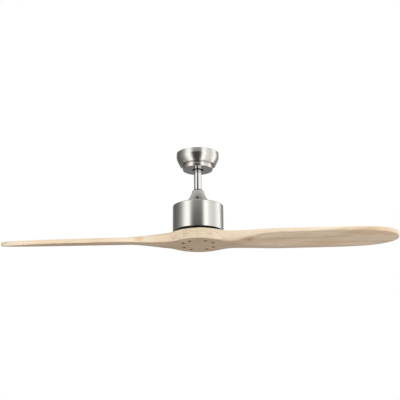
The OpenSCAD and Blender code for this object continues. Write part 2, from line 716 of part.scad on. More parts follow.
// Two screws that press on the downrod, front and back
module yoke_set_screws() color("gray")
    for (a = [0, 180]) rotate([0, 0, a]) translate([0, rod_r + shaft_fit, set_screw_z]) rotate([-90, 0, 0])
        difference() {
            cylinder(r = m5_r, h = yoke_wall + 3.6);
            translate([0, 0, yoke_wall + 1.6]) cylinder(r = hex_key_r, h = 3, $fn = 6);
        }

// Their lock nuts, against the sleeve
module yoke_lock_nuts() color("silver")
    for (a = [0, 180]) rotate([0, 0, a]) translate([0, yoke_sleeve_r, set_screw_z]) rotate([-90, 0, 0])
        difference() {
            cylinder(r = lock_nut_r, h = lock_nut_h, $fn = 6);
            translate([0, 0, -eps]) cylinder(r = m5_r + shaft_fit, h = lock_nut_h + 2 * eps);
        }

// Hollow shaft, with a side hole for the leads and a groove for the circlip
module motor_shaft() color("lightslategray") difference() {
    tube(shaft_r, shaft_bore_r, shaft_bottom_z, shaft_top_z - shaft_bottom_z);
    translate([0, 0, shaft_pin_z]) rotate([0, 90, 0])
        cylinder(r = m5_r + shaft_fit, h = 4 * shaft_r, center = true);
    translate([0, 0, hub_top_z - 3.5]) rotate([-90, 0, 0]) cylinder(r = 2.4, h = 2 * shaft_r);
    tube(shaft_r + eps, shaft_r - 1, lower_bearing_z - circlip_t - 0.2, circlip_t + 0.1);
}

// Cross pin that locks the shaft in the yoke: two halves that leave the shaft's hole free
module shaft_pin() color("gray") for (a = [0, 180]) rotate([0, 0, a])
    translate([shaft_bore_r + 0.2, 0, shaft_pin_z]) rotate([0, 90, 0])
        cylinder(r = m5_r, h = yoke_body_r - shaft_bore_r - 0.7);

// Plain can, open at the bottom
module motor_housing() color("silver") difference() {
    rotate_extrude() polygon(concat([[0, housing_bottom_z], [housing_r, housing_bottom_z]],
        [for (a = [0:15:90]) [housing_r - housing_edge_r + housing_edge_r * cos(a),
            housing_top_z - housing_edge_r + housing_edge_r * sin(a)]], [[0, housing_top_z]]));
    translate([0, 0, housing_bottom_z - eps])
        cylinder(r = housing_r - housing_wall, h = housing_h - housing_wall - housing_edge_r + eps);
    translate([0, 0, housing_bottom_z])
        cylinder(r = housing_r - housing_edge_r, h = housing_h - housing_wall);
    translate([0, 0, housing_top_z - 2 * housing_wall]) {
        cylinder(r = shaft_r + 1.5, h = 3 * housing_wall);
        translate([0, wire_hole_y, 0]) cylinder(r = grommet_r - 0.8, h = 3 * housing_wall);
        around(4, housing_screw_circle, 45) cylinder(r = m4_r + loose_fit, h = 3 * housing_wall);
    }
}

// Four screws, up through the housing's top into the yoke's flange
module housing_screws() color("gray") around(4, housing_screw_circle, 45)
    translate([0, 0, housing_top_z - housing_wall])
        pan_screw(m4_r, housing_wall + yoke_flange_t - 0.8, m4_head_r, m4_head_h);

// Rubber grommet in the housing's wire hole
module wire_grommet() color("black") translate([0, wire_hole_y, 0]) {
    tube(grommet_r - 0.85, grommet_bore_r, housing_top_z - housing_wall, housing_wall);
    tube(grommet_r, grommet_bore_r, housing_top_z - housing_wall - 1, 1);
}

// Hexagonal pillars riveted to the housing's top
module board_standoffs() color("goldenrod") around(3, standoff_circle, standoff_first_deg) difference() {
    translate([0, 0, board_top_z])
        cylinder(r = standoff_r, h = housing_top_z - housing_wall - board_top_z, $fn = 6);
    translate([0, 0, board_top_z - eps]) cylinder(r = m3_r + shaft_fit, h = 6);
}

// Ring-shaped circuit board over the motor
module driver_board() color("darkgreen") difference() {
    tube(board_r, board_hole_r, board_top_z - board_t, board_t);
    around(3, standoff_circle, standoff_first_deg) translate([0, 0, board_top_z - board_t - eps])
        cylinder(r = m3_r + loose_fit, h = board_t + 2 * eps);
}

// Capacitors under the board, and switching parts on it
module board_components() color("darkslategray") {
    for (a = [180, 205, 230]) rotate([0, 0, a])
        translate([board_r - 14, 0, board_top_z - board_t - capacitor_h])
            cylinder(r = capacitor_r, h = capacitor_h);
    for (a = [-60:24:12]) rotate([0, 0, a]) translate([board_r - 18, -4, board_top_z])
        cube([6, 8, 3]);
    for (a = [120, 150]) rotate([0, 0, a]) translate([board_hole_r + 12, -6, board_top_z])
        cube([12, 12, 5]);
}

module board_screws() color("gray") around(3, standoff_circle, standoff_first_deg)
    translate([0, 0, board_top_z - board_t]) pan_screw(m3_r, board_t + 4.5, m3_head_r, m3_head_h);

// Moulded hub that carries the core on the shaft, slotted for the leads
module stator_hub() color("ivory") difference() {
    tube(core_in_r, shaft_r + shaft_fit, hub_bottom_z, hub_top_z - hub_bottom_z);
    translate([-lead_notch_w / 2, 0, hub_top_z - lead_notch_h])
        cube([lead_notch_w, core_in_r + eps, lead_notch_h + eps]);
}

// Laminated core: back ring, teeth and pole shoes
module stator_core() color("slategray")
    translate([0, 0, core_bottom_z]) linear_extrude(core_top_z - core_bottom_z) difference() {
        intersection() {
            union() {
                circle(r = tooth_root_r);
                for (k = [0:teeth - 1]) rotate(k * 360 / teeth)
                    translate([0, -tooth_w / 2]) square([stator_r + eps, tooth_w]);
                difference() {
                    circle(r = stator_r);
                    circle(r = stator_r - shoe_t);
                    for (k = [0:teeth - 1]) rotate((k + 0.5) * 360 / teeth)
                        translate([0, -tooth_slot_w / 2]) square([stator_r + eps, tooth_slot_w]);
                }
            }
            circle(r = stator_r);
        }
        circle(r = core_in_r);
        translate([-lead_notch_w / 2, 0]) square([lead_notch_w, core_in_r + 4.5]);
    }

// One copper coil round each tooth
module stator_windings() color("peru") for (k = [0:teeth - 1]) rotate([0, 0, k * 360 / teeth]) {
    outer = tooth_w / 2 + coil_t * 0.75;
    inner = tooth_w / 2 + coil_gap;
    difference() {
        translate([coil_in_r, -outer, core_bottom_z - end_turn_h])
            cube([coil_out_r - coil_in_r, 2 * outer, core_top_z - core_bottom_z + 2 * end_turn_h]);
        translate([coil_in_r - eps, -inner, core_bottom_z - coil_gap])
            cube([coil_out_r - coil_in_r + 2 * eps, 2 * inner, core_top_z - core_bottom_z + 2 * coil_gap]);
    }
}

// Sleeved leads from the windings, up through the shaft and down to the board
module motor_leads() color("black") wire([
    [0, coil_in_r - 0.2, hub_top_z + 1],
    [0, core_in_r + 5.5, hub_top_z + 0.7],
    [0, core_in_r + 1.5, hub_top_z - 0.8],
    [0, core_in_r - 5, hub_top_z - 3.2],
    [0, shaft_r + 2, hub_top_z - 3.6],
    [0, 3.2, hub_top_z - 3.2],
    [0, 0.8, hub_top_z + 2],
    [0, 0, hub_top_z + 12],
    [0, 0, shaft_top_z - 12],
    [0, 0, shaft_top_z - 3],
    [0.6, 1.4, shaft_top_z + 1.4],
    [lead_x * 0.6, 6.5, shaft_top_z + 2.9],
    [lead_x, 13, shaft_top_z + 2.9],
    [lead_x, wire_hole_y - 4, shaft_top_z + 2],
    [lead_x, wire_hole_y, shaft_top_z - 4],
    [lead_x, wire_hole_y, housing_top_z],
    [lead_x, wire_hole_y, board_top_z + 0.1]],
    lead_r, steps = 3, sideways = [0.98, 0.02, 0.02]);

// Bearing ring between two radii with its half of the ball groove
module race(r_in, r_out, z) difference() {
    tube(r_out, r_in, z, bearing_w);
    translate([0, 0, z + bearing_w / 2]) rotate_extrude() translate([ball_circle_r, 0]) circle(r = groove_r);
}

module inner_race(z) color("silver") race(shaft_r + shaft_fit, shaft_r + race_t, z);
module outer_race(z) color("silver") race(bearing_r - race_t, bearing_r, z);
module race_balls(z) color("gainsboro") around(bearing_balls, ball_circle_r)
    translate([0, 0, z + bearing_w / 2]) sphere(r = bearing_ball_r);

module upper_bearing_inner() inner_race(upper_bearing_z);
module lower_bearing_inner() inner_race(lower_bearing_z);

// Ring in the shaft's groove, under the lower bearing
module shaft_circlip() color("dimgray") difference() {
    tube(shaft_r + 2.2, shaft_r - 1 + shaft_fit, lower_bearing_z - circlip_t - 0.1, circlip_t);
    translate([0, -2, lower_bearing_z - 2 * circlip_t]) cube([2 * shaft_r, 4, 3 * circlip_t]);
}

// ---------- spinning ----------

// Cup over the stator with the upper bearing's pocket
module rotor_upper_shell() color("lightgray") difference() {
    union() {
        tube(shell_out_r, shell_in_r, shell_split_z, rotor_top_z - shell_split_z);
        translate([0, 0, rotor_top_z - shell_t]) cylinder(r = shell_out_r, h = shell_t);
        translate([0, 0, upper_bearing_z - boss_overhang])
            cylinder(r = boss_r, h = rotor_top_z - upper_bearing_z);
    }
    translate([0, 0, upper_bearing_z - 2 * boss_overhang])
        cylinder(r = bearing_r + shaft_fit, h = bearing_w + 2 * boss_overhang);
    translate([0, 0, rotor_top_z - 2 * shell_t]) cylinder(r = bearing_r - race_t - 1, h = 3 * shell_t);
    around(rotor_screws_n, shell_screw_r) translate([0, 0, shell_split_z - eps])
        cylinder(r = m4_r + shaft_fit, h = shell_thread_h + eps);
}

// Cup under the stator with the lower bearing's pocket and the pedestal for the blade plate
module rotor_lower_shell() color("lightgray") difference() {
    union() {
        tube(shell_out_r, shell_in_r, rotor_bottom_z, shell_split_z - rotor_bottom_z);
        translate([0, 0, rotor_bottom_z]) cylinder(r = shell_out_r, h = shell_t);
        translate([0, 0, rotor_bottom_z])
            cylinder(r = boss_r, h = lower_bearing_z + bearing_w + boss_overhang - rotor_bottom_z);
        translate([0, 0, plate_top_z]) cylinder(r = pedestal_out_r, h = rotor_bottom_z - plate_top_z);
    }
    translate([0, 0, lower_bearing_z])
        cylinder(r = bearing_r + shaft_fit, h = bearing_w + 2 * boss_overhang);
    translate([0, 0, rotor_bottom_z - eps]) cylinder(r = bearing_r - race_t, h = bearing_lip + 2 * eps);
    translate([0, 0, plate_top_z - eps]) cylinder(r = pedestal_in_r, h = rotor_bottom_z - plate_top_z + eps);
    around(rotor_screws_n, shell_screw_r) translate([0, 0, rotor_bottom_z - eps])
        cylinder(r = m4_r + loose_fit, h = shell_split_z - rotor_bottom_z + 2 * eps);
    around(4, plate_screw_circle, 45) translate([0, 0, plate_top_z - eps])
        cylinder(r = m5_r + shaft_fit, h = plate_screw_reach + 1 + eps);
}

module rotor_screws() color("gray") around(rotor_screws_n, shell_screw_r)
    translate([0, 0, rotor_bottom_z])
        pan_screw(m4_r, shell_split_z - rotor_bottom_z + shell_thread_h - 1, m4_head_r, m4_head_h);

module rotor_iron_ring() color("dimgray") tube(shell_in_r, iron_in_r, magnet_z, magnet_h);

// Ring of separate magnets
module rotor_magnets() color("black") difference() {
    tube(iron_in_r, magnet_in_r, magnet_z, magnet_h);
    for (k = [0:magnets - 1]) rotate([0, 0, (k + 0.5) * 360 / magnets])
        translate([magnet_in_r - eps, -magnet_spacing / 2, magnet_z - eps])
            cube([magnet_t + 2 * eps, magnet_spacing, magnet_h + 2 * eps]);
}

module upper_bearing_outer() outer_race(upper_bearing_z);
module lower_bearing_outer() outer_race(lower_bearing_z);
module upper_bearing_balls() race_balls(upper_bearing_z);
module lower_bearing_balls() race_balls(lower_bearing_z);

// Steel disc that the blades are screwed to
module blade_plate() color("black") difference() {
    tube(plate_r, bearing_r, plate_bottom_z, plate_t);
    for (s = [0, 180]) for (a = blade_screw_angles) rotate([0, 0, s + a])
        translate([screw_circle / 2, 0, plate_bottom_z - eps])
            cylinder(r = m5_r + shaft_fit, h = plate_t + 2 * eps);
    around(4, plate_screw_circle, 45) translate([0, 0, plate_bottom_z]) {
        translate([0, 0, -eps]) cylinder(r = m5_r + loose_fit, h = plate_t + 2 * eps);
        rotate_extrude() polygon([[0, -eps], [2 * m5_r + sink_fit + eps, -eps],
            [m5_r + sink_fit, m5_r], [0, m5_r]]);
    }
}

// Countersunk screws, flush with the plate
module plate_screws() color("gray") around(4, plate_screw_circle, 45)
    translate([0, 0, plate_bottom_z]) difference() {
        rotate_extrude() polygon([[0, 0.1], [2 * m5_r, 0.1], [m5_r, m5_r],
            [m5_r, plate_t + plate_screw_reach], [0, plate_t + plate_screw_reach]]);
        cylinder(r = hex_key_r + 0.2, h = 1.6, $fn = 6);
    }

// Rubber sheet between the plate and the wood
module blade_gasket() color("black") difference() {
    tube(plate_r - 2, bearing_r, blade_top_z, gasket_t);
    for (s = [0, 180]) for (a = blade_screw_angles) rotate([0, 0, s + a])
        translate([screw_circle / 2, 0, blade_top_z - eps])
            cylinder(r = m5_r + loose_fit, h = gasket_t + 2 * eps);
}

// Plan shape: hub bulge, waist, even blade, rounded tip
function ease(t) = let (u = min(max(t, 0), 1)) u * u * (3 - 2 * u);
function hub_bulge(x) = x < hub_length ? (hub_half - waist_half) * pow(1 - pow(x / hub_length, 2.2), 2) : 0;
function tip_round(x, from) = x <= from ? 1 :
    pow(max(1 - pow((x - from) / (tip_r - from), tip_power), 0), 1 / 2.15);
function edge_y(x, full, from, sweep) =
    let (w = waist_half + hub_bulge(x) + (full - waist_half) * ease((x - waist_x) / (full_x - waist_x)))
    (w - sweep) * tip_round(x, from) + sweep;
function lead_y(x) = edge_y(x, lead_w, lead_tip_x, tip_sweep);
function trail_y(x) = edge_y(x, trail_w, trail_tip_x, -tip_sweep);

// Edge thickness: the whole plank at the hub, thin along the blade
function carved(x, edge, length) =
    let (thin = edge * (1 - 0.12 * max(x - full_x, 0) / (tip_r - full_x)))
    thin + (plank_t - thin) * pow(1 - min(max((x - carve_x) / length, 0), 1), 1.4);

// Where the plank's flat face ends and the carved slope starts, seen from the trailing side
function crease_y(x) =
    trail_w - 13 - (lead_w + trail_w - 21) * exp(-(x - carve_x - 8) / crease_length);

// Section of the right-hand blade: y, z from the leading edge's top round to its lower edge
function section(x) =
    let (yl = lead_y(x), yt = trail_y(x),
         tl = carved(x, lead_t, lead_carve), tt = carved(x, trail_t, trail_carve),
         cb = min(max(crease_y(x), -yl + 1), yt - 1),
         ct = max(min(-crease_y(x), yt - 1), -yl + 1),
         slope_b = (plank_t - tl) / (max(crease_y(x), -lead_w + 1) + lead_w),
         slope_t = (plank_t - tt) / (trail_w - min(-crease_y(x), trail_w - 1)))
    [[-yl, blade_top_z - max(-yl + crease_y(x), 0) * slope_t],
     [ct, blade_top_z - max(ct + crease_y(x), 0) * slope_t],
     [yt, blade_top_z - max(yt - min(-crease_y(x), trail_w - 1), 0) * slope_t],
     [yt, blade_bottom_z + max(crease_y(x) - yt, 0) * slope_b],
     [cb, blade_bottom_z + max(crease_y(x) - cb, 0) * slope_b],
     [-yl, blade_bottom_z + max(crease_y(x) + yl, 0) * slope_b]];

module blade_wood() {
    xs = blade_stations;
    last = len(xs) - 1;
    sections = [for (x = xs) section(min(x, tip_r - 0.15))];
    n = len(sections[0]);
    rim = [for (i = [0:last]) for (p = sections[i]) [xs[i], p[0], p[1]]];
    middles = [for (i = [0, last])
        [xs[i], (sections[i][0][0] + sections[i][3][0]) / 2, (sections[i][0][1] + sections[i][3][1]) / 2]];
    walls = [for (i = [0:last - 1]) for (k = [0:n - 1])
        let (a = i * n + k, b = i * n + (k + 1) % n)
        for (f = [[a, b, a + n], [b, b + n, a + n]]) f];
    caps = [for (k = [0:n - 1]) let (m = (k + 1) % n)
        for (f = [[len(rim), m, k], [len(rim) + 1, last * n + k, last * n + m]]) f];
    polyhedron(points = concat(rim, middles), faces = concat(walls, caps));
}

// One carved blade with its half of the hub, drilled and counterbored for its screws
module blade() difference() {
    blade_wood();
    for (a = blade_screw_angles) rotate([0, 0, a])
        translate([screw_circle / 2, 0, blade_bottom_z - eps]) {
        cylinder(r = m5_r + loose_fit, h = plank_t + 2 * eps);
        cylinder(r = counterbore_r, h = counterbore_h + eps);
    }
}

module blade_a() color("burlywood") blade();
module blade_b() color("burlywood") rotate([0, 0, 180]) blade();

// Eight screws, up through the wood into the blade plate
module blade_screws() color("saddlebrown")
    for (s = [0, 180]) for (a = blade_screw_angles) rotate([0, 0, s + a])
        translate([screw_circle / 2, 0, blade_bottom_z + counterbore_h])
            pan_screw(m5_r, plate_top_z - blade_bottom_z - counterbore_h + 1.5, screw_head_r, screw_head_h);

hanging_bracket();
canopy();
canopy_screws();
canopy_screw_cover();
terminal_block();
terminal_screws();
earth_screw();
supply_wires();
socket_liner();
hanger_ball();
ball_pin();
ball_set_screw();
downrod();
rod_wires();
rubber_ring();
coupling_cover();
coupling_cover_screw();
motor_yoke();
clevis_pin();
r_clip();
yoke_set_screws();
yoke_lock_nuts();
motor_shaft();
shaft_pin();
motor_housing();
housing_screws();
wire_grommet();
board_standoffs();
driver_board();
board_components();
board_screws();
stator_hub();
stator_core();
stator_windings();
motor_leads();
upper_bearing_inner();
lower_bearing_inner();
shaft_circlip();
rotor_upper_shell();
rotor_lower_shell();
rotor_screws();
rotor_iron_ring();
rotor_magnets();
upper_bearing_outer();
lower_bearing_outer();
upper_bearing_balls();
lower_bearing_balls();
blade_plate();
plate_screws();
blade_gasket();
blade_a();
blade_b();
blade_screws();
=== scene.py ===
import json
import math

import bmesh
import bpy
import numpy as np
from mathutils import Matrix, Vector


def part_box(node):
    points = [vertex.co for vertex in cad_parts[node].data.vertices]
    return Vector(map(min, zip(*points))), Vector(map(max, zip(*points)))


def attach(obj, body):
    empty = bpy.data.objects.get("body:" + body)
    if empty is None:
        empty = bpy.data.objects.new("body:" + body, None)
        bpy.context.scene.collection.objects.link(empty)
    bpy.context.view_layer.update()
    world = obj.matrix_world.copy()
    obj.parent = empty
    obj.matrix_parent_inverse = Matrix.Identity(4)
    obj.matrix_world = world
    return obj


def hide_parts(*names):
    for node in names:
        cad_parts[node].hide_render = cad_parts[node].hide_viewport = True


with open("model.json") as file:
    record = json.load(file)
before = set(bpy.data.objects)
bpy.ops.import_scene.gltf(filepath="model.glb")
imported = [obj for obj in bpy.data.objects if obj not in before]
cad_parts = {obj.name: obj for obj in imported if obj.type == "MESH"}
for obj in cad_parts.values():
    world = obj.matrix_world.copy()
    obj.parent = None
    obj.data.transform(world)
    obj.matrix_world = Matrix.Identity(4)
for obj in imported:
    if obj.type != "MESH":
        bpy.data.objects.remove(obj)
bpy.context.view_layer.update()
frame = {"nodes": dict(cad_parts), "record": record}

MM = 0.001

# ---------- sizes that the looks share with the frame ----------

housing_low, housing_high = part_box("motor_housing")
bell_low, bell_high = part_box("coupling_cover")
canopy_low, canopy_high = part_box("canopy")
dish_low, dish_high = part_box("canopy_screw_cover")
rod_low, rod_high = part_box("downrod")
ring_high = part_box("rubber_ring")[1]
blade_low, blade_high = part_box("blade_a")
pin_low, pin_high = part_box("clevis_pin")
ball_pin_low, ball_pin_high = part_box("ball_pin")

ROD_R = 13 * MM
ROD_WALL = 1.8 * MM
SHEET = 1.2 * MM
HOUSING_WALL = 1.5 * MM
M4_HOLE_R = 2.3 * MM
SCREW_CIRCLE_R = 55.5 * MM
BLADE_SCREW_DEGREES = (28, 62, -28, -62)

# ---------- making pieces ----------


def pick_only(*objects):
    """Selects these objects and nothing else."""
    bpy.ops.object.select_all(action="DESELECT")
    for o in objects:
        o.select_set(True)
    if objects:
        bpy.context.view_layer.objects.active = objects[0]


def settle(piece):
    """Puts the piece's place into its mesh, so that its object sits at the origin."""
    pick_only(piece)
    bpy.ops.object.transform_apply(location=True, rotation=True, scale=True)
    return piece


def started(name):
    """The primitive just added, under its name."""
    piece = bpy.context.object
    piece.name = piece.data.name = name
    return piece


def softened(corners, segments=5):
    """An outline of (radius, height) points from corners (radius, height, rounding)."""
    made = []
    for i, (r, z, rounding) in enumerate(corners):
        here = Vector((r, z))
        if rounding <= 0:
            made.append((r, z))
            continue
        before = (Vector(corners[i - 1][:2]) - here).normalized()
        after = (Vector(corners[(i + 1) % len(corners)][:2]) - here).normalized()
        half = before.angle(after) / 2
        reach = rounding / math.tan(half)
        centre = here + (before + after).normalized() * rounding / math.sin(half)
        start, end = here + before * reach - centre, here + after * reach - centre
        for k in range(segments + 1):
            way = start.lerp(end, k / segments).normalized() * rounding
            made.append(tuple(centre + way))
    return made


def turned(name, outline, steps=160):
    """A shell turned about the fan's axis, from a closed outline of (radius, height) points."""
    pick_only()
    r, z = outline[0]
    bpy.ops.mesh.primitive_circle_add(vertices=steps, radius=r, location=(0, 0, z))
    piece = started(name)
    bpy.ops.object.mode_set(mode="EDIT")
    bpy.ops.mesh.select_all(action="SELECT")
    for r_next, z_next in [*outline[1:], outline[0]]:
        bpy.ops.mesh.extrude_region_move(TRANSFORM_OT_translate={"value": (0, 0, z_next - z)})
        scale = r_next / r
        bpy.ops.transform.resize(value=(scale, scale, 1), center_override=(0, 0, z_next))
        r, z = r_next, z_next
    bpy.ops.mesh.select_all(action="SELECT")
    bpy.ops.mesh.remove_doubles(threshold=2e-6)
    bpy.ops.mesh.normals_make_consistent(inside=False)
    bpy.ops.object.mode_set(mode="OBJECT")
    return settle(piece)


def drill(radius, depth, place, turn=(0, 0, 0)):
    """A round cutter, or a round pad, centred at place."""
    pick_only()
    bpy.ops.mesh.primitive_cylinder_add(
        vertices=48, radius=radius, depth=depth, location=place, rotation=turn,
    )
    return settle(started("drill"))


def combine(piece, tools, how):
    """Cuts the tools out of the piece, or joins them to it, and clears them away."""
    for tool in tools:
        pick_only(piece)
        modifier = piece.modifiers.new("shape", "BOOLEAN")
        modifier.operation = how
        modifier.solver = "EXACT"
        modifier.object = tool
        bpy.ops.object.modifier_apply(modifier=modifier.name)
        bpy.data.objects.remove(tool)
    return piece


def smooth(piece, degrees=32):
    pick_only(piece)
    bpy.ops.object.shade_smooth_by_angle(angle=math.radians(degrees))
    return piece


def finish(piece, body, material, slot, *nodes):
    """Gives the piece its material and body, and hides the CAD nodes that it stands for; the slot is not
    used.
    """
    piece.data.materials.clear()
    piece.data.materials.append(material)
    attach(piece, body)
    if nodes:
        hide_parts(*nodes)
    return piece


# ---------- shader building ----------


class Nodes:
    """Adds and links the nodes of one tree."""

    def __init__(self, tree):
        self.tree = tree

    def add(self, kind, **settings):
        node = self.tree.nodes.new(kind)
        for key, value in settings.items():
            setattr(node, key, value)
        return node

    def feed(self, socket, value):
        if isinstance(value, bpy.types.NodeSocket):
            self.tree.links.new(value, socket)
        elif value is not None:
            socket.default_value = value

    def math(self, operation, a, b=None, clamp=False):
        node = self.add("ShaderNodeMath", operation=operation, use_clamp=clamp)
        self.feed(node.inputs[0], a)
        self.feed(node.inputs[1], b)
        return node.outputs[0]

    def vector(self, operation, a, b=None):
        node = self.add("ShaderNodeVectorMath", operation=operation)
        self.feed(node.inputs[0], a)
        self.feed(node.inputs[1], b)
        return node.outputs["Value" if operation in ("LENGTH", "DISTANCE", "DOT_PRODUCT") else "Vector"]

    def noise(self, vector, scale, detail=2.0, roughness=0.5):
        node = self.add("ShaderNodeTexNoise")
        self.feed(node.inputs["Vector"], vector)
        self.feed(node.inputs["Scale"], scale)
        node.inputs["Detail"].default_value = detail
        node.inputs["Roughness"].default_value = roughness
        return node.outputs["Fac"]

    def spread(self, value, low, high, out_low=0.0, out_high=1.0, smooth=False):
        node = self.add("ShaderNodeMapRange", clamp=True)
        node.interpolation_type = "SMOOTHSTEP" if smooth else "LINEAR"
        for socket, v in zip(node.inputs, (value, low, high, out_low, out_high)):
            self.feed(socket, v)
        return node.outputs[0]

    def mix(self, amount, a, b, how="MIX"):
        node = self.add("ShaderNodeMix", data_type="RGBA", blend_type=how)
        self.feed(node.inputs["Factor"], amount)
        self.feed(node.inputs[6], a)
        self.feed(node.inputs[7], b)
        return node.outputs[2]

    def parts(self, vector):
        node = self.add("ShaderNodeSeparateXYZ")
        self.feed(node.inputs[0], vector)
        return node.outputs

    def join(self, x, y, z):
        node = self.add("ShaderNodeCombineXYZ")
        for socket, v in zip(node.inputs, (x, y, z)):
            self.feed(socket, v)
        return node.outputs[0]

    def ramp(self, value, stops):
        node = self.add("ShaderNodeValToRGB")
        ramp = node.color_ramp
        while len(ramp.elements) > 1:
            ramp.elements.remove(ramp.elements[-1])
        for k, (place, colour) in enumerate(stops):
            stop = ramp.elements[0] if k == 0 else ramp.elements.new(place)
            stop.position = place
            stop.color = (*colour, 1) if hasattr(colour, "__len__") else (colour, colour, colour, 1)
        self.feed(node.inputs[0], value)
        return node.outputs[0]


def effect(name, inputs, outputs):
    """A shader node group with named sockets: (name, kind, value) in, (name, kind) out."""
    tree = bpy.data.node_groups.new(name, "ShaderNodeTree")
    for label, kind, value in inputs:
        socket = tree.interface.new_socket(label, in_out="INPUT", socket_type=f"NodeSocket{kind}")
        if value is not None:
            socket.default_value = value
    for label, kind in outputs:
        tree.interface.new_socket(label, in_out="OUTPUT", socket_type=f"NodeSocket{kind}")
    nodes = Nodes(tree)
    return nodes, nodes.add("NodeGroupInput").outputs, nodes.add("NodeGroupOutput").inputs


def make_turned_brush():
    """Fine brush lines round the fan's axis, with long soft streaks among them."""
    n, inp, out = effect(
        "turned_brush",
        [("Vector", "Vector", (0, 0, 0)), ("Line Pitch", "Float", 0.0004), ("Smudge Size", "Float", 0.03)],
        [("Lines", "Float"), ("Streaks", "Float"), ("Smudges", "Float")],
    )
    x, y, z = n.parts(inp["Vector"])
    radius = n.math("SQRT", n.math("ADD", n.math("MULTIPLY", x, x), n.math("MULTIPLY", y, y)))
    safe = n.math("MAXIMUM", radius, 1e-4)
    across = n.math("DIVIDE", n.math("ADD", z, radius), inp["Line Pitch"])
    bend_x = n.math("MULTIPLY", n.math("DIVIDE", x, safe), 2.2)
    bend_y = n.math("MULTIPLY", n.math("DIVIDE", y, safe), 2.2)
    n.feed(out["Lines"], n.noise(n.join(bend_x, bend_y, across), 1.0, 3.0, 0.7))
    broad = n.join(bend_x, bend_y, n.math("MULTIPLY", across, 0.09))
    n.feed(out["Streaks"], n.noise(broad, 1.0, 4.0, 0.6))
    smudge = n.vector("SCALE", inp["Vector"])
    n.feed(smudge.node.inputs["Scale"], n.math("DIVIDE", 1.0, inp["Smudge Size"]))
    n.feed(out["Smudges"], n.noise(smudge, 1.0, 3.0, 0.55))
    return n.tree


def make_fine_grain():
    """An even fine grain, such as a casting's or a moulding's skin."""
    n, inp, out = effect(
        "fine_grain",
        [("Vector", "Vector", (0, 0, 0)), ("Grain Size", "Float", 0.001), ("Patch Size", "Float", 0.02)],
        [("Grain", "Float"), ("Patches", "Float")],
    )
    for label, size, detail in (("Grain", "Grain Size", 3.0), ("Patches", "Patch Size", 2.0)):
        place = n.vector("SCALE", inp["Vector"])
        n.feed(place.node.inputs["Scale"], n.math("DIVIDE", 1.0, inp[size]))
        n.feed(out[label], n.noise(place, 1.0, detail, 0.6))
    return n.tree


KNOT_HEART = (0.16, 0.07, 0.025, 1)
# Colour for darker wood in and round the screw holes
SCREW_HOLE_DARKENING = (0.035, 0.018, 0.010, 1)
# Painted light: how much paler the blade is painted away from the hub
PAINTED_LIGHT_OUTWARD = (1.17, 1.21, 1.28, 1)


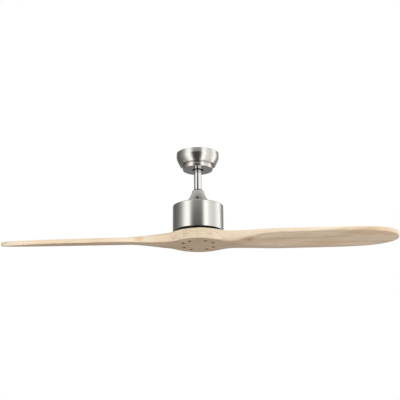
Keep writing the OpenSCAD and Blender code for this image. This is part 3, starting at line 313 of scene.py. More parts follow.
def make_plank_grain():
    """Boards glued edge to edge along X: rings, fibres, pores, streaks, knots, screw holes darkened in and
    round, and painted light that makes the blade paler away from the hub.
    """
    n, inp, out = effect(
        "plank_grain",
        [
            ("Vector", "Vector", (0, 0, 0)),
            ("Board Width", "Float", 0.045),
            ("Ring Pitch", "Float", 0.0075),
            ("Offset", "Float", 0.0),
            ("Knot", "Vector", (0.2, 0, 0)),
            ("Knot Size", "Float", 0.012),
            ("Small Knot", "Vector", (0.2, 0, 0)),
            ("Pale", "Color", (0.7, 0.55, 0.38, 1)),
            ("Ring Tone", "Color", (0.5, 0.33, 0.18, 1)),
            ("Warm", "Color", (0.5, 0.28, 0.12, 1)),
            ("Screw Circle", "Float", 0.0555),
        ],
        [("Color", "Color"), ("Height", "Float"), ("Gloss", "Float")],
    )
    place = inp["Vector"]
    x, y, z = n.parts(place)
    board = n.math("FLOOR", n.math("DIVIDE", n.math("ADD", y, 0.3), inp["Board Width"]))
    board_share = n.math("FRACT", n.math("DIVIDE", n.math("ADD", y, 0.3), inp["Board Width"]))
    shuffle = n.math("ADD", n.math("MULTIPLY", board, 7.31), inp["Offset"])
    hashed = n.math("FRACT", n.math("MULTIPLY", n.math("SINE", n.math("MULTIPLY", shuffle, 12.99)), 43.7))

    def knot_pull(label, size):
        away = n.vector("SUBTRACT", place, inp[label])
        squeezed = n.vector("MULTIPLY", away, (0.5, 1.0, 0.6))
        return n.math("DIVIDE", n.vector("LENGTH", squeezed), size)

    knot = knot_pull("Knot", inp["Knot Size"])
    small = knot_pull("Small Knot", n.math("MULTIPLY", inp["Knot Size"], 0.45))
    near_knot = n.math("ADD", n.spread(knot, 0.6, 4.5, 1, 0, True), n.spread(small, 0.6, 4.0, 0.5, 0, True))

    def stretched(along, across, extra=None):
        """Coordinates for a pattern that is long in the grain's direction."""
        up = n.math("MULTIPLY", z, across)
        if extra is not None:
            up = n.math("ADD", up, extra)
        return n.join(n.math("MULTIPLY", x, along), n.math("MULTIPLY", y, across), up)

    wander = n.noise(stretched(3.0, 22.0, shuffle), 1.0, 3.0, 0.55)
    pith = n.join(n.math("MULTIPLY", x, 0.05), y, n.math("ADD", z, n.math("MULTIPLY", hashed, 0.09)))
    wavy = n.math("MULTIPLY", n.math("SUBTRACT", wander, 0.5), 0.055)
    depth = n.math("ADD", n.vector("LENGTH", pith), wavy)
    depth = n.math("ADD", depth, n.math("MULTIPLY", near_knot, 0.011))
    rings = n.math("FRACT", n.math("ADD", n.math("DIVIDE", depth, inp["Ring Pitch"]), hashed))
    late = n.math("MULTIPLY", n.spread(rings, 0.25, 0.93, 0, 1, True), n.spread(rings, 0.95, 1.0, 1, 0, True))

    fibre = n.noise(stretched(9.0, 620.0), 1.0, 3.0, 0.65)
    pores = n.spread(n.noise(stretched(70.0, 1500.0), 1.0, 1.0, 0.5), 0.64, 0.74)
    streak = n.noise(stretched(2.4, 60.0, shuffle), 1.0, 4.0, 0.6)
    tone = n.noise(stretched(4.0, 12.0, inp["Offset"]), 1.0, 2.0)

    colour = n.mix(n.math("MULTIPLY", late, 0.40), inp["Pale"], inp["Ring Tone"])
    colour = n.mix(n.spread(streak, 0.50, 0.74, 0, 0.75, True), colour, inp["Ring Tone"])
    colour = n.mix(n.spread(tone, 0.5, 0.70, 0, 0.42, True), colour, inp["Warm"])
    colour = n.mix(n.math("MULTIPLY", pores, 0.25), colour, inp["Ring Tone"])
    board_shade = n.math("ADD", 0.90, n.math("MULTIPLY", hashed, 0.08))
    shade = n.math("ADD", board_shade, n.math("MULTIPLY", fibre, 0.10))
    colour = n.mix(1.0, colour, n.join(shade, shade, shade), "MULTIPLY")
    halo_big, halo_small = n.spread(knot, 1.0, 3.4, 0.75, 0, True), n.spread(small, 1.0, 3.0, 0.6, 0, True)
    colour = n.mix(n.math("ADD", halo_big, halo_small, clamp=True), colour, inp["Warm"])
    heart_big, heart_small = n.spread(knot, 0.5, 1.1, 1, 0, True), n.spread(small, 0.5, 1.1, 1, 0, True)
    heart = n.math("ADD", heart_big, heart_small, clamp=True)
    colour = n.mix(n.math("MULTIPLY", heart, 0.5), colour, KNOT_HEART)
    joint_low, joint_high = n.spread(board_share, 0.0, 0.006, 1, 0), n.spread(board_share, 0.994, 1.0, 0, 1)
    joint = n.math("ADD", joint_low, joint_high, clamp=True)
    colour = n.mix(n.math("MULTIPLY", joint, 0.25), colour, inp["Ring Tone"])
    folded = n.join(n.math("ABSOLUTE", x), n.math("ABSOLUTE", y), 0.0)
    # Darker wood in and round the screw holes: near-black over the counterbores, fading out a little beyond
    # them
    for share_x, share_y in ((0.883, 0.4695), (0.4695, 0.883)):
        screw_x = n.math("MULTIPLY", inp["Screw Circle"], share_x)
        screw_y = n.math("MULTIPLY", inp["Screw Circle"], share_y)
        away = n.vector("DISTANCE", folded, n.join(screw_x, screw_y, 0.0))
        hole_darkening = n.spread(away, 0.0045, 0.0068, 0.92, 0, True)
        colour = n.mix(hole_darkening, colour, SCREW_HOLE_DARKENING)
    # Painted light: the blade is painted paler away from the hub, standing in for the light that its tilted
    # faces catch
    painted_light_outward = n.spread(n.math("ABSOLUTE", x), 0.08, 0.26, 0, 1, True)
    colour = n.mix(painted_light_outward, colour, n.mix(1.0, colour, PAINTED_LIGHT_OUTWARD, "MULTIPLY"))
    n.feed(out["Color"], colour)
    sunk = n.math("ADD", pores, n.math("MULTIPLY", late, 0.3))
    height = n.math("SUBTRACT", n.math("MULTIPLY", fibre, 0.5), sunk)
    n.feed(out["Height"], height)
    n.feed(out["Gloss"], n.math("ADD", n.math("MULTIPLY", fibre, 0.12), n.math("MULTIPLY", pores, 0.2)))
    return n.tree


TURNED_BRUSH = make_turned_brush()
FINE_GRAIN = make_fine_grain()
PLANK_GRAIN = make_plank_grain()


def new_material(name, colour, roughness, metallic=0.0):
    """A material with its shader, and the object's own coordinates."""
    material = bpy.data.materials.new(name)
    material.use_nodes = True
    n = Nodes(material.node_tree)
    shader = material.node_tree.nodes["Principled BSDF"]
    shader.inputs["Base Color"].default_value = (*colour, 1)
    shader.inputs["Roughness"].default_value = roughness
    shader.inputs["Metallic"].default_value = metallic
    place = n.add("ShaderNodeTexCoord").outputs["Object"]
    return material, n, shader, place


def placed(n, group, place, **values):
    """The shared effect in this material, with its own values."""
    node = n.add("ShaderNodeGroup", node_tree=group)
    n.feed(node.inputs["Vector"], place)
    for label, value in values.items():
        n.feed(node.inputs[label.replace("_", " ")], value)
    return node.outputs


def bump(n, shader, height, strength, distance):
    node = n.add("ShaderNodeBump")
    node.inputs["Strength"].default_value = strength
    node.inputs["Distance"].default_value = distance
    n.feed(node.inputs["Height"], height)
    n.feed(shader.inputs["Normal"], node.outputs[0])


def turned_metal(name, colour, roughness, pitch, depth, spin=0.0, streak=0.05):
    """Metal brushed or polished while it turned."""
    material, n, shader, place = new_material(name, colour, roughness, 1.0)
    shader.inputs["Anisotropic"].default_value = spin
    brush = placed(n, TURNED_BRUSH, place, Line_Pitch=pitch)
    shade = n.spread(brush["Streaks"], 0.3, 0.7, 1.0 - streak, 1.0 + streak)
    n.feed(shader.inputs["Base Color"], n.mix(1.0, (*colour, 1), n.join(shade, shade, shade), "MULTIPLY"))
    lines = n.math("MULTIPLY", n.math("SUBTRACT", brush["Lines"], 0.5), roughness * 0.5)
    smudge = n.math("MULTIPLY", n.math("SUBTRACT", brush["Smudges"], 0.5), roughness * 0.35)
    n.feed(shader.inputs["Roughness"], n.math("ADD", n.math("ADD", lines, smudge), roughness))
    bump(n, shader, brush["Lines"], depth, 0.0001)
    return material


def grained(name, colour, roughness, metallic, grain, depth, patch=0.02, tint=0.06, shine=0.5):
    """Cast, plated or moulded skin with a fine grain."""
    material, n, shader, place = new_material(name, colour, roughness, metallic)
    shader.inputs["Specular IOR Level"].default_value = shine
    skin = placed(n, FINE_GRAIN, place, Grain_Size=grain, Patch_Size=patch)
    shade = n.spread(skin["Patches"], 0.3, 0.7, 1.0 - tint, 1.0 + tint)
    n.feed(shader.inputs["Base Color"], n.mix(1.0, (*colour, 1), n.join(shade, shade, shade), "MULTIPLY"))
    rough = n.math("MULTIPLY", n.math("SUBTRACT", skin["Grain"], 0.5), 0.16)
    n.feed(shader.inputs["Roughness"], n.math("ADD", rough, roughness, clamp=True))
    bump(n, shader, skin["Grain"], depth, 0.0002)
    return material


def wood(name, offset, pale, ring_tone, warm, knot, small_knot, knot_size):
    """Oiled solid wood with its grain along the blade."""
    material, n, shader, place = new_material(name, pale, 0.42)
    grain = placed(
        n, PLANK_GRAIN, place, Offset=offset, Pale=(*pale, 1), Ring_Tone=(*ring_tone, 1), Warm=(*warm, 1),
        Knot=knot, Small_Knot=small_knot, Knot_Size=knot_size,
    )
    n.feed(shader.inputs["Base Color"], grain["Color"])
    n.feed(shader.inputs["Roughness"], n.math("ADD", grain["Gloss"], 0.40))
    shader.inputs["Specular IOR Level"].default_value = 0.35
    bump(n, shader, grain["Height"], 0.25, 0.0002)
    return material


brushed_nickel = turned_metal("brushed_nickel", (0.58, 0.56, 0.53), 0.17, 0.00035, 0.25, 0.4, 0.03)
satin_nickel = turned_metal("satin_nickel", (0.58, 0.56, 0.53), 0.42, 0.0006, 0.2, 0.0, 0.05)
polished_nickel = turned_metal("polished_nickel", (0.64, 0.625, 0.60), 0.08, 0.0006, 0.05, 0.2, 0.02)

BLADE_TOP = blade_high.z
BLADE_BOTTOM = blade_low.z
PLANK_T = BLADE_TOP - BLADE_BOTTOM

wood_right = wood(
    "pale_wood_right", 0.0, (0.78, 0.64, 0.47), (0.56, 0.40, 0.25), (0.60, 0.38, 0.19),
    (0.168, -0.026, BLADE_BOTTOM + 0.014), (0.455, 0.012, BLADE_BOTTOM + 0.018), 0.0056,
)
wood_left = wood(
    "pale_wood_left", 0.0, (0.78, 0.64, 0.47), (0.56, 0.40, 0.25), (0.60, 0.38, 0.19),
    (-0.190, -0.056, BLADE_TOP - 0.019), (-0.204, -0.058, BLADE_TOP - 0.019), 0.0036,
)

# ---------- finishes of the inner parts ----------

FINISHES = {
    "brushed_nickel": brushed_nickel,
    "polished_nickel": polished_nickel,
    "zinc_steel": grained("zinc_steel", (0.62, 0.62, 0.60), 0.38, 1.0, 0.0012, 0.12, 0.012, 0.10),
    "screw_steel": turned_metal("screw_steel", (0.60, 0.59, 0.57), 0.28, 0.0005, 0.15, 0.0, 0.05),
    "bearing_steel": turned_metal("bearing_steel", (0.66, 0.66, 0.66), 0.12, 0.0004, 0.06, 0.0, 0.03),
    "dark_screw": grained("dark_screw", (0.030, 0.018, 0.012), 0.55, 0.0, 0.0006, 0.15, 0.004, 0.15, 0.2),
    "green_screw": grained("green_screw", (0.03, 0.22, 0.06), 0.40, 0.6, 0.0006, 0.12, 0.004, 0.12),
    # black_steel: near-black and dull, partly the parts' own black paint and partly painted shade for the gap
    # between the motor and the blades
    "black_steel": grained("black_steel", (0.006, 0.006, 0.0065), 0.70, 0.0, 0.0006, 0.20, 0.02, 0.15, 0.12),
    "cast_aluminium": grained("cast_aluminium", (0.42, 0.42, 0.42), 0.52, 1.0, 0.0009, 0.30, 0.015, 0.10),
    "laminated_iron": grained("laminated_iron", (0.26, 0.27, 0.29), 0.45, 1.0, 0.0005, 0.25, 0.01, 0.10),
    "magnet_ferrite": grained("magnet_ferrite", (0.035, 0.035, 0.038), 0.55, 0.2, 0.0007, 0.25, 0.01, 0.15),
    "copper_wire": grained("copper_wire", (0.72, 0.32, 0.14), 0.32, 1.0, 0.0005, 0.35, 0.006, 0.12),
    "brass": grained("brass", (0.72, 0.52, 0.22), 0.30, 1.0, 0.0006, 0.12, 0.006, 0.08),
    "white_nylon": grained("white_nylon", (0.78, 0.76, 0.70), 0.48, 0.0, 0.0008, 0.15, 0.01, 0.04),
    "black_plastic": grained("black_plastic", (0.022, 0.022, 0.024), 0.45, 0.0, 0.0006, 0.25, 0.01, 0.15),
    "circuit_board": grained("circuit_board", (0.015, 0.12, 0.045), 0.38, 0.0, 0.0015, 0.10, 0.008, 0.20),
    "wire_insulation": grained("wire_insulation", (0.30, 0.03, 0.02), 0.42, 0.0, 0.0006, 0.08, 0.01, 0.10),
    "black_rubber": grained("black_rubber", (0.010, 0.009, 0.008), 0.75, 0.0, 0.0007, 0.25, 0.01, 0.15, 0.15),
    "pale_wood": wood_right,
}

for part in frame["record"]["subparts"]:
    node = frame["nodes"][part["node"]]
    node.data.materials.clear()
    node.data.materials.append(FINISHES[part["material_slot"]])

# ---------- canopy, its screw cover and the coupling cover ----------

CANOPY_R = canopy_high.x
CANOPY_RIM = canopy_high.z
CANOPY_FLOOR = canopy_low.z
CANOPY_BAND = 16.5 * MM
CANOPY_FLOOR_R = 59.4 * MM
FLOOR_HOLE_R = 34 * MM
CANOPY_SCREW_X = 44 * MM


def bowl(t):
    return CANOPY_FLOOR_R + (CANOPY_R - 0.8 * MM - CANOPY_FLOOR_R) * (1 - t**1.55)


def canopy_corners(wall, steps=12):
    """The canopy's rim, straight band and bowl, moved in by its wall."""
    low = CANOPY_FLOOR + wall
    band = [(CANOPY_R - wall, CANOPY_RIM, 0.5 * MM), (CANOPY_R - wall, -CANOPY_BAND + 0.6 * MM, 0.0)]
    bends = [(bowl(k / steps) - wall, -CANOPY_BAND - 0.5 * MM + (low + CANOPY_BAND + 0.5 * MM) * k / steps,
              2.0 * MM if k == steps else 0.0) for k in range(steps + 1)]
    return band + bends


outside = canopy_corners(0)
inside = canopy_corners(SHEET)[::-1]
floor_hole = [(FLOOR_HOLE_R, CANOPY_FLOOR, 0.4 * MM), (FLOOR_HOLE_R, CANOPY_FLOOR + SHEET, 0.4 * MM)]
canopy_shape = softened([*outside, *floor_hole, *inside])
canopy = turned("canopy_shell", canopy_shape, 192)
combine(canopy, [
    drill(M4_HOLE_R, 6 * MM, (side * CANOPY_SCREW_X, 0, CANOPY_FLOOR)) for side in (-1, 1)
], "DIFFERENCE")
finish(smooth(canopy), "ceiling_mount", brushed_nickel, "brushed_nickel", "canopy")

DISH_R = dish_high.x
DISH_TOP = dish_high.z
DISH_BOTTOM = dish_low.z
DISH_H = DISH_TOP - DISH_BOTTOM
MOUTH_R = ROD_R + 6 * MM
LEDGE_R = CANOPY_SCREW_X - 6 * MM

dish_shape = softened([
    (DISH_R, DISH_TOP, 0.3 * MM),
    (DISH_R, DISH_TOP - DISH_H * 0.5, 8 * MM),
    (DISH_R - 1 * MM, DISH_BOTTOM, 1.8 * MM),
    (MOUTH_R, DISH_BOTTOM, 1.0 * MM),
    (MOUTH_R, DISH_BOTTOM + 2.5 * SHEET, 0.4 * MM),
    (MOUTH_R + SHEET, DISH_BOTTOM + 2.5 * SHEET, 0.4 * MM),
    (MOUTH_R + SHEET, DISH_BOTTOM + SHEET, 0.3 * MM),
    (DISH_R - 1 * MM - SHEET, DISH_BOTTOM + SHEET, 0.8 * MM),
    (DISH_R - SHEET, DISH_TOP - DISH_H * 0.5, 6 * MM),
    (DISH_R - SHEET, DISH_TOP - SHEET, 0.2 * MM),
    (LEDGE_R, DISH_TOP - SHEET, 0.3 * MM),
    (LEDGE_R, DISH_TOP, 0.3 * MM),
], 6)
dish = turned("screw_cover_dish", dish_shape, 176)
KEYHOLE_HEAD_R = 4.6 * MM
keyholes = []
for side in (0, 180):
    for degrees in (0, 3, 6, 9, 12, 15):
        a = math.radians(side + degrees)
        radius = KEYHOLE_HEAD_R if degrees == 15 else M4_HOLE_R
        place = (CANOPY_SCREW_X * math.cos(a), CANOPY_SCREW_X * math.sin(a), DISH_TOP)
        keyholes.append(drill(radius, 3 * MM, place))
combine(dish, keyholes, "DIFFERENCE")
finish(smooth(dish), "ceiling_mount", brushed_nickel, "brushed_nickel", "canopy_screw_cover")

BELL_TOP = bell_high.z
BELL_FOOT = bell_low.z
BELL_TOP_R = 19.2
BELL_SLOPE, BELL_CURVE = 0.135, 0.0098
BELL_FLARE = 44
SEAT_DEPTH = 34
SEAT_R = 4 * MM


def bell_r(depth, wall=0.0):
    """Radius of the bell in metres at a depth in millimetres below its top."""
    return (BELL_TOP_R + BELL_SLOPE * depth + BELL_CURVE * depth * depth) * MM - wall


# The cover starts this far below its top in the frame, in millimetres, and the ring's foot fills the step
BELL_TUCK = 1.3
depths = [BELL_FLARE * k / 22 for k in range(2, 22)]
outer = [(bell_r(d), BELL_TOP - d * MM, 0.0) for d in depths]
inner_top = SHEET + BELL_TUCK * MM
inner = [(bell_r(d, 1.15 * SHEET), BELL_TOP - max(d * MM, inner_top), 0.0) for d in reversed(depths)]
bell_shape = softened([
    (ROD_R + 0.6 * MM, BELL_TOP - BELL_TUCK * MM - SHEET, 0.0),
    (ROD_R + 0.6 * MM, BELL_TOP - BELL_TUCK * MM, 0.3 * MM),
    (bell_r(0), BELL_TOP - BELL_TUCK * MM, 0.5 * MM),
    *outer,
    (bell_r(BELL_FLARE), BELL_TOP - BELL_FLARE * MM, 3.0 * MM),
    (bell_r(BELL_FLARE), BELL_FOOT, 0.3 * MM),
    (bell_r(BELL_FLARE, SHEET), BELL_FOOT, 0.3 * MM),
    (bell_r(BELL_FLARE, SHEET), BELL_TOP - (BELL_FLARE + 1) * MM, 1.5 * MM),
    *inner,
], 6)
bell = turned("bell_cover", bell_shape, 176)
seat_y = bell_r(SEAT_DEPTH) - 1.4 * MM
seat_z = BELL_TOP - SEAT_DEPTH * MM
upright = (math.pi / 2, 0, 0)
combine(bell, [drill(SEAT_R + 0.6 * MM, SHEET, (0, -seat_y + SHEET / 2, seat_z), upright)], "UNION")
combine(bell, [
    drill(SEAT_R, 12 * MM, (0, -seat_y - 6 * MM, seat_z), upright),
    drill(M4_HOLE_R, 16 * MM, (0, -seat_y, seat_z), upright),
], "DIFFERENCE")
finish(smooth(bell, 28), "motor_hanger", satin_nickel, "brushed_nickel", "coupling_cover")

RING_FOOT = BELL_TOP - BELL_TUCK * MM + 0.05 * MM
ring_shape = softened([
    (ROD_R + 0.2 * MM, RING_FOOT, 0.1 * MM),
    (ROD_R + 0.2 * MM, ring_high.z - 0.4 * MM, 0.2 * MM),
    (ring_high.x, ring_high.z - 0.4 * MM, 0.4 * MM),
    (ring_high.x + 0.3 * MM, RING_FOOT + 1.1 * MM, 0.0),
    (BELL_TOP_R * MM - 0.9 * MM, RING_FOOT + 0.7 * MM, 0.2 * MM),
    (BELL_TOP_R * MM - 0.9 * MM, RING_FOOT, 0.1 * MM),
])
ring = turned("rod_ring", ring_shape, 96)
finish(smooth(ring), "motor_hanger", FINISHES["black_rubber"], "black_rubber", "rubber_ring")

# ---------- downrod ----------

rod_shape = softened([
    (ROD_R, rod_low.z, 0.4 * MM),
    (ROD_R, rod_high.z, 0.4 * MM),
    (ROD_R - ROD_WALL, rod_high.z, 0.4 * MM),
    (ROD_R - ROD_WALL, rod_low.z, 0.4 * MM),
])
rod = turned("hanging_rod", rod_shape, 128)
pin_hole = 3.05 * MM
clevis_z = (pin_low.z + pin_high.z) / 2
ball_pin_z = (ball_pin_low.z + ball_pin_high.z) / 2
combine(rod, [
    drill(pin_hole, 40 * MM, (0, 0, ball_pin_z), upright),
    drill(pin_hole, 40 * MM, (0, 0, clevis_z), (0, math.pi / 2, 0)),
], "DIFFERENCE")
finish(smooth(rod), "motor_hanger", polished_nickel, "polished_nickel", "downrod")

# ---------- motor housing ----------

HOUSING_R = housing_high.x
HOUSING_TOP = housing_high.z
HOUSING_BOTTOM = housing_low.z
SHAFT_HOLE_R = 10 * MM
GROMMET_HOLE_R, GROMMET_Y = 7.2 * MM, 24 * MM
HOUSING_SCREW_R = 28 * MM

housing_shape = softened([
    (HOUSING_R, HOUSING_BOTTOM, 0.6 * MM),
    (HOUSING_R, HOUSING_TOP, 3.0 * MM),
    (SHAFT_HOLE_R, HOUSING_TOP, 0.2 * MM),
    (SHAFT_HOLE_R, HOUSING_TOP - HOUSING_WALL, 0.2 * MM),
    (HOUSING_R - HOUSING_WALL, HOUSING_TOP - HOUSING_WALL, 2.0 * MM),
    (HOUSING_R - HOUSING_WALL, HOUSING_BOTTOM, 0.6 * MM),
], 8)
housing = turned("motor_can", housing_shape, 224)
openings = [drill(GROMMET_HOLE_R, 8 * MM, (0, GROMMET_Y, HOUSING_TOP))]
for degrees in (45, 135, 225, 315):
    a = math.radians(degrees)
    place = (HOUSING_SCREW_R * math.cos(a), HOUSING_SCREW_R * math.sin(a), HOUSING_TOP)
    openings.append(drill(M4_HOLE_R, 8 * MM, place))
combine(housing, openings, "DIFFERENCE")
finish(smooth(housing), "motor_hanger", brushed_nickel, "brushed_nickel", "motor_housing")

# ---------- carved blades ----------

TIP_R = blade_high.x / MM
SEAM_X = blade_low.x / MM
HUB_HALF, HUB_LENGTH, WAIST_HALF = 87.0, 111.0, 44.5
LEAD_W, TRAIL_W, LEAD_T, TRAIL_T = 62.0, 59.0, 11.5, 15.0
TIP_SWEEP = 8.0
WAIST_X = HUB_LENGTH + 9
FULL_X = WAIST_X + 150
CARVE_X = HUB_LENGTH - 31
PLANK = PLANK_T / MM
CREASE_SOFTNESS = 9.0
LANE_START = 0.12
HUB_ROUNDING = 2.5


def share(value):
    return np.clip(value, 0.0, 1.0)


def edge_y(x, full, start, sweep):
    """Distance of an edge from the blade's axis: hub bulge, waist, even blade, rounded tip."""
    bulge = (HUB_HALF - WAIST_HALF) * (1 - share(x / HUB_LENGTH) ** 2.2) ** 2
    u = share((x - WAIST_X) / (FULL_X - WAIST_X))
    w = WAIST_HALF + bulge + (full - WAIST_HALF) * u * u * (3 - 2 * u)
    rounding = np.maximum(1 - share((x - start) / (TIP_R - start)) ** 2.6, 0.0) ** (1 / 2.15)
    return (w - sweep) * rounding + sweep


def carved(x, edge, length):
    """Thickness of an edge: the whole plank at the hub, thin along the blade."""
    thin = edge * (1 - 0.12 * np.maximum(x - FULL_X, 0) / (TIP_R - FULL_X))
    return thin + (PLANK - thin) * (1 - share((x - CARVE_X) / length)) ** 1.4


def crease_y(x):
    """Where the plank's flat face ends and the carved slope starts."""
    return TRAIL_W - 13 - (LEAD_W + TRAIL_W - 21) * np.exp(-(x - CARVE_X - 8) / 75)


def soft_rise(d):
    """Zero before the crease, rising evenly after it, with a soft turn between."""
    return 0.5 * (d + np.sqrt(d * d + CREASE_SOFTNESS**2))


def eased(value, low, high):
    """From 0 to 1 as the value goes from low to high, with a soft start and end."""
    u = share((value - low) / (high - low))
    return u * u * (3 - 2 * u)


def rounded_over(distance, x, thickness):
    """How far the rounding of an edge takes the surface in: small at the hub, full along the blade."""
    radius = HUB_ROUNDING + (0.5 * thickness - HUB_ROUNDING) * eased(x, 50, 105)
    return radius * (1 - np.sqrt(1 - (1 - share(distance / radius)) ** 2))


def stations():
    """Cuts along the blade, closer at the hub and at the tip."""
    hub = np.arange(4, 150, 4.0)
    blade = np.arange(150, TIP_R - 280, 8.0)
    tip = TIP_R - 280 + 279.85 * np.sin(np.linspace(0, math.pi / 2, 46))
    return [*hub, *blade, *tip[:-1]]


def carved_blade(name, turn):
    """A plank cut into lanes and stations, then carved to the blade's shape."""
    pick_only()
    lanes = 44
    length = TIP_R - SEAM_X
    bpy.ops.mesh.primitive_cube_add(size=1, location=(SEAM_X + length / 2, 0, 0), scale=(length, 2, 2))
    blade = settle(started(name))
    bpy.ops.object.mode_set(mode="EDIT")
    for x in stations():
        bpy.ops.mesh.select_all(action="SELECT")
        bpy.ops.mesh.bisect(plane_co=(x, 0, 0), plane_no=(1, 0, 0))
    for k in range(1, lanes):
        turn_share = LANE_START + (1 - 2 * LANE_START) * k / lanes
        lane = -math.cos(math.pi * turn_share) / math.cos(math.pi * LANE_START)
        bpy.ops.mesh.select_all(action="SELECT")
        bpy.ops.mesh.bisect(plane_co=(0, lane, 0), plane_no=(0, 1, 0))
    bpy.ops.object.mode_set(mode="OBJECT")
    co = np.zeros(len(blade.data.vertices) * 3, np.float32)
    blade.data.vertices.foreach_get("co", co)
    co = co.reshape(-1, 3).astype(float)
    x = np.minimum(co[:, 0], TIP_R - 0.15)
    lead = edge_y(x, LEAD_W, TIP_R - 180, TIP_SWEEP)
    trail = edge_y(x, TRAIL_W, TIP_R - 280, -TIP_SWEEP)
    y = -lead + (lead + trail) * (co[:, 1] + 1) / 2
    crease = crease_y(x)
    lead_edge, trail_edge = carved(x, LEAD_T, 150), carved(x, TRAIL_T, 165)
    lead_full = soft_rise(np.maximum(crease, -LEAD_W) + LEAD_W)
    trail_full = soft_rise(np.maximum(crease, -TRAIL_W) + TRAIL_W)
    lead_drop = (PLANK - lead_edge) * soft_rise(crease - y) / lead_full
    trail_drop = (PLANK - trail_edge) * soft_rise(y + crease) / trail_full
    lead_drop += rounded_over(y + lead, x, lead_edge)
    trail_drop += rounded_over(trail - y, x, trail_edge)
    top = BLADE_TOP / MM - np.clip(trail_drop, 0, PLANK - 6)
    bottom = BLADE_BOTTOM / MM + np.clip(lead_drop, 0, PLANK - 6)
    z = np.where(co[:, 2] > 0, top, bottom)
    shaped = np.stack([co[:, 0], y, z], 1) * MM
    blade.data.vertices.foreach_set("co", shaped.astype(np.float32).ravel())
    blade.data.update()
    round_edges(blade)
    holes = []
    for degrees in BLADE_SCREW_DEGREES:
        a = math.radians(degrees)
        at = (SCREW_CIRCLE_R * math.cos(a), SCREW_CIRCLE_R * math.sin(a))
        holes.append(drill(2.8 * MM, 80 * MM, (*at, BLADE_BOTTOM)))
        holes.append(drill(4.6 * MM, 10 * MM, (*at, BLADE_BOTTOM)))
    combine(blade, holes, "DIFFERENCE")
    if turn:
        blade.rotation_euler = (0, 0, turn)
        settle(blade)
    return smooth(blade, 35)


def round_edges(blade, width=1.2 * MM):
    """Rounds the blade's long edges, and breaks the seam's only a little."""
    mesh = blade.data
    weights = mesh.attributes.new("bevel_weight_edge", "FLOAT", "EDGE")
    shape = bmesh.new()
    shape.from_mesh(mesh)
    values = np.zeros(len(shape.edges), np.float32)
    for edge in shape.edges:
        if edge.calc_face_angle(0.0) > math.radians(48):
            at_seam = max(v.co.x for v in edge.verts) < (SEAM_X + 0.5) * MM
            values[edge.index] = 0.2 if at_seam else 1.0
    shape.free()
    weights.data.foreach_set("value", values)
    pick_only(blade)
    modifier = blade.modifiers.new("rounding", "BEVEL")
    modifier.limit_method = "WEIGHT"
    modifier.width = width
    modifier.segments = 4
    modifier.use_clamp_overlap = True
    bpy.ops.object.modifier_apply(modifier=modifier.name)


finish(carved_blade("carved_blade_right", 0), "propeller", wood_right, "pale_wood", "blade_a")
finish(carved_blade("carved_blade_left", math.pi), "propeller", wood_left, "pale_wood", "blade_b")

# ---------- studio ----------

CAMERA_AZIMUTH = 2.72
CAMERA_RISE = 18.04
CAMERA_LEAN = -0.49
FLOOR_Z = -2.5


def turned_by(degrees, axis):
    return Matrix.Rotation(math.radians(degrees), 3, axis)


camera = bpy.data.objects.new("camera", bpy.data.cameras.new("camera"))
bpy.context.scene.collection.objects.link(camera)
camera.location = (0.18045, -3.79819, -1.40138)
aim = turned_by(CAMERA_AZIMUTH, "Z") @ turned_by(90 + CAMERA_RISE, "X") @ turned_by(CAMERA_LEAN, "Z")
camera.rotation_euler = aim.to_euler()
camera.data.sensor_width = 36
camera.data.lens = 107.61
camera.data.shift_x = 0.00505
camera.data.clip_end = 60
bpy.context.scene.camera = camera
bpy.context.scene.view_settings.view_transform = "Standard"


# Brightness of the panels round the studio, by degrees from the camera's side
PANELS = (
    (-180, 0.28), (-146, 0.18), (-118, 0.19), (-99, 0.27), (-88, 0.42), (-76, 0.72), (-69, 1.1), (-62, 1.5),
    (-54, 1.75), (-42, 1.75), (-37, 1.35), (-31, 0.62), (-25, 0.38), (-17, 0.26), (12, 0.25), (17, 0.32),
    (22, 0.70), (27, 1.5), (32, 1.85), (43, 1.8), (49, 1.30), (62, 1.12), (74, 1.06), (86, 1.25),
    (96, 1.65), (111, 1.75), (121, 0.85), (131, 0.38), (146, 0.31), (180, 0.28),
)
# Half the share of it that the middle of the front keeps, by height from 0 below to 1 above
FRONT_SHADE = ((0.2, 0.12), (0.5, 0.17), (0.604, 0.25), (0.655, 0.5), (0.69, 0.85), (0.75, 1.0))
# Where the two bright panels at the rear stand, by degrees from the camera's side
REAR_PANELS = ((-176, 0), (-168, 1), (-158, 1), (-150, 0), (150, 0), (158, 1), (168, 1), (176, 0))
REAR_LIGHT = (0.6, 0.6, 0.6, 1)
CEILING_LIGHT = (0.38, 0.38, 0.38, 1)
FLOOR_IN_REFLECTIONS = (0.10, 0.10, 0.10, 1)
FLOOR_AS_LIGHT = (0.105, 0.070, 0.042, 1)


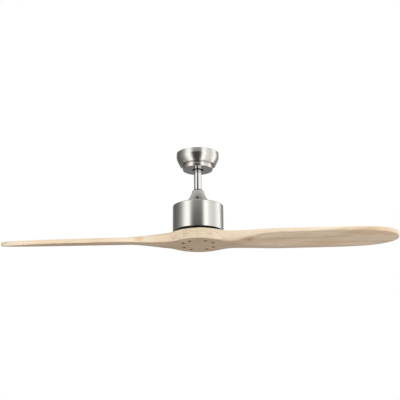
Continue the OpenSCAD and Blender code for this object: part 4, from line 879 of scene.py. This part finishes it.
def studio_world():
    """White behind the object, and soft panels of light and shade all round it."""
    world = bpy.data.worlds.new("studio")
    bpy.context.scene.world = world
    world.use_nodes = True
    n = Nodes(world.node_tree)
    world.node_tree.nodes.clear()
    way = n.add("ShaderNodeTexCoord").outputs["Generated"]
    turn = n.add("ShaderNodeVectorRotate", rotation_type="Z_AXIS")
    n.feed(turn.inputs["Vector"], way)
    turn.inputs["Angle"].default_value = -math.radians(CAMERA_AZIMUTH)
    x, y, z = n.parts(turn.outputs[0])
    azimuth = n.math("ARCTAN2", x, n.math("MULTIPLY", y, -1.0))
    round_share = n.math("ADD", n.math("DIVIDE", azimuth, 2 * math.pi), 0.5)

    def at(degrees):
        return (degrees + 180) / 360

    panels = n.ramp(round_share, [(at(degrees), level / 2) for degrees, level in PANELS])
    centre = n.ramp(round_share, [(at(-38), 0), (at(-24), 1), (at(13), 1), (at(24), 0)])
    height = n.math("ADD", n.math("MULTIPLY", z, 0.5), 0.5)
    in_front = n.ramp(height, FRONT_SHADE)
    shade = n.mix(centre, (1, 1, 1, 1), n.mix(1.0, in_front, (2, 2, 2, 1), "MULTIPLY"))
    light = n.mix(1.0, panels, shade, "MULTIPLY")
    rear = n.ramp(round_share, [(at(degrees), level) for degrees, level in REAR_PANELS])
    rear = n.mix(n.spread(z, 0.02, 0.12), (0, 0, 0, 1), rear)
    light = n.mix(rear, light, REAR_LIGHT)
    light = n.mix(n.spread(z, 0.40, 0.62, smooth=True), light, CEILING_LIGHT)
    paths = n.add("ShaderNodeLightPath").outputs
    diffuse = paths["Is Diffuse Ray"]
    below = n.mix(diffuse, FLOOR_IN_REFLECTIONS, FLOOR_AS_LIGHT)
    fade_glossy = n.spread(z, -0.74, -0.94, smooth=True)
    fade_diffuse = n.spread(z, -0.56, -0.80, smooth=True)
    light = n.mix(n.mix(diffuse, fade_glossy, fade_diffuse), light, below)
    glow = n.add("ShaderNodeBackground")
    n.feed(glow.inputs["Color"], light)
    glow.inputs["Strength"].default_value = 2.0
    white = n.add("ShaderNodeBackground")
    white.inputs["Color"].default_value = (1, 1, 1, 1)
    both = n.add("ShaderNodeMixShader")
    n.feed(both.inputs[0], paths["Is Camera Ray"])
    n.feed(both.inputs[1], glow.outputs[0])
    n.feed(both.inputs[2], white.outputs[0])
    n.feed(n.add("ShaderNodeOutputWorld").inputs["Surface"], both.outputs[0])


def softbox(name, azimuth, elevation, distance, width, height, radiance, tint=(1, 1, 1)):
    """A soft panel light that faces the fan, placed round the camera's side."""
    data = bpy.data.lights.new(name, "AREA")
    data.shape = "RECTANGLE"
    data.size, data.size_y = width, height
    data.energy = radiance * math.pi * width * height
    data.color = tint
    light = bpy.data.objects.new(name, data)
    bpy.context.scene.collection.objects.link(light)
    a, e = math.radians(azimuth + CAMERA_AZIMUTH), math.radians(elevation)
    back = Vector((math.sin(a) * math.cos(e), -math.cos(a) * math.cos(e), math.sin(e)))
    light.location = Vector((0, 0, -0.2)) + back * distance
    light.rotation_mode = "QUATERNION"
    light.rotation_quaternion = back.to_track_quat("Z", "Y")
    light.visible_camera = False
    light.visible_glossy = False


studio_world()
softbox("low_front_panel", 0, -10, 3.2, 2.4, 1.2, 4.0, (0.93, 0.98, 1.0))

bpy.ops.mesh.primitive_plane_add(size=24, location=(0, 0, FLOOR_Z))
floor = started("studio_floor")
settle(floor)
floor.visible_glossy = floor.visible_diffuse = floor.visible_shadow = False
floor_paint = bpy.data.materials.new("floor_paint")
floor_paint.use_nodes = True
floor_nodes = Nodes(floor_paint.node_tree)
paint = floor_paint.node_tree.nodes["Principled BSDF"]
paint.inputs["Base Color"].default_value = (0.80, 0.80, 0.79, 1)
paint.inputs["Roughness"].default_value = 0.85
under = floor_nodes.add("ShaderNodeNewGeometry").outputs["Backfacing"]
clear = floor_nodes.add("ShaderNodeBsdfTransparent")
either = floor_nodes.add("ShaderNodeMixShader")
floor_nodes.feed(either.inputs[0], under)
floor_nodes.feed(either.inputs[1], paint.outputs[0])
floor_nodes.feed(either.inputs[2], clear.outputs[0])
floor_nodes.feed(floor_paint.node_tree.nodes["Material Output"].inputs["Surface"], either.outputs[0])
floor.data.materials.append(floor_paint)
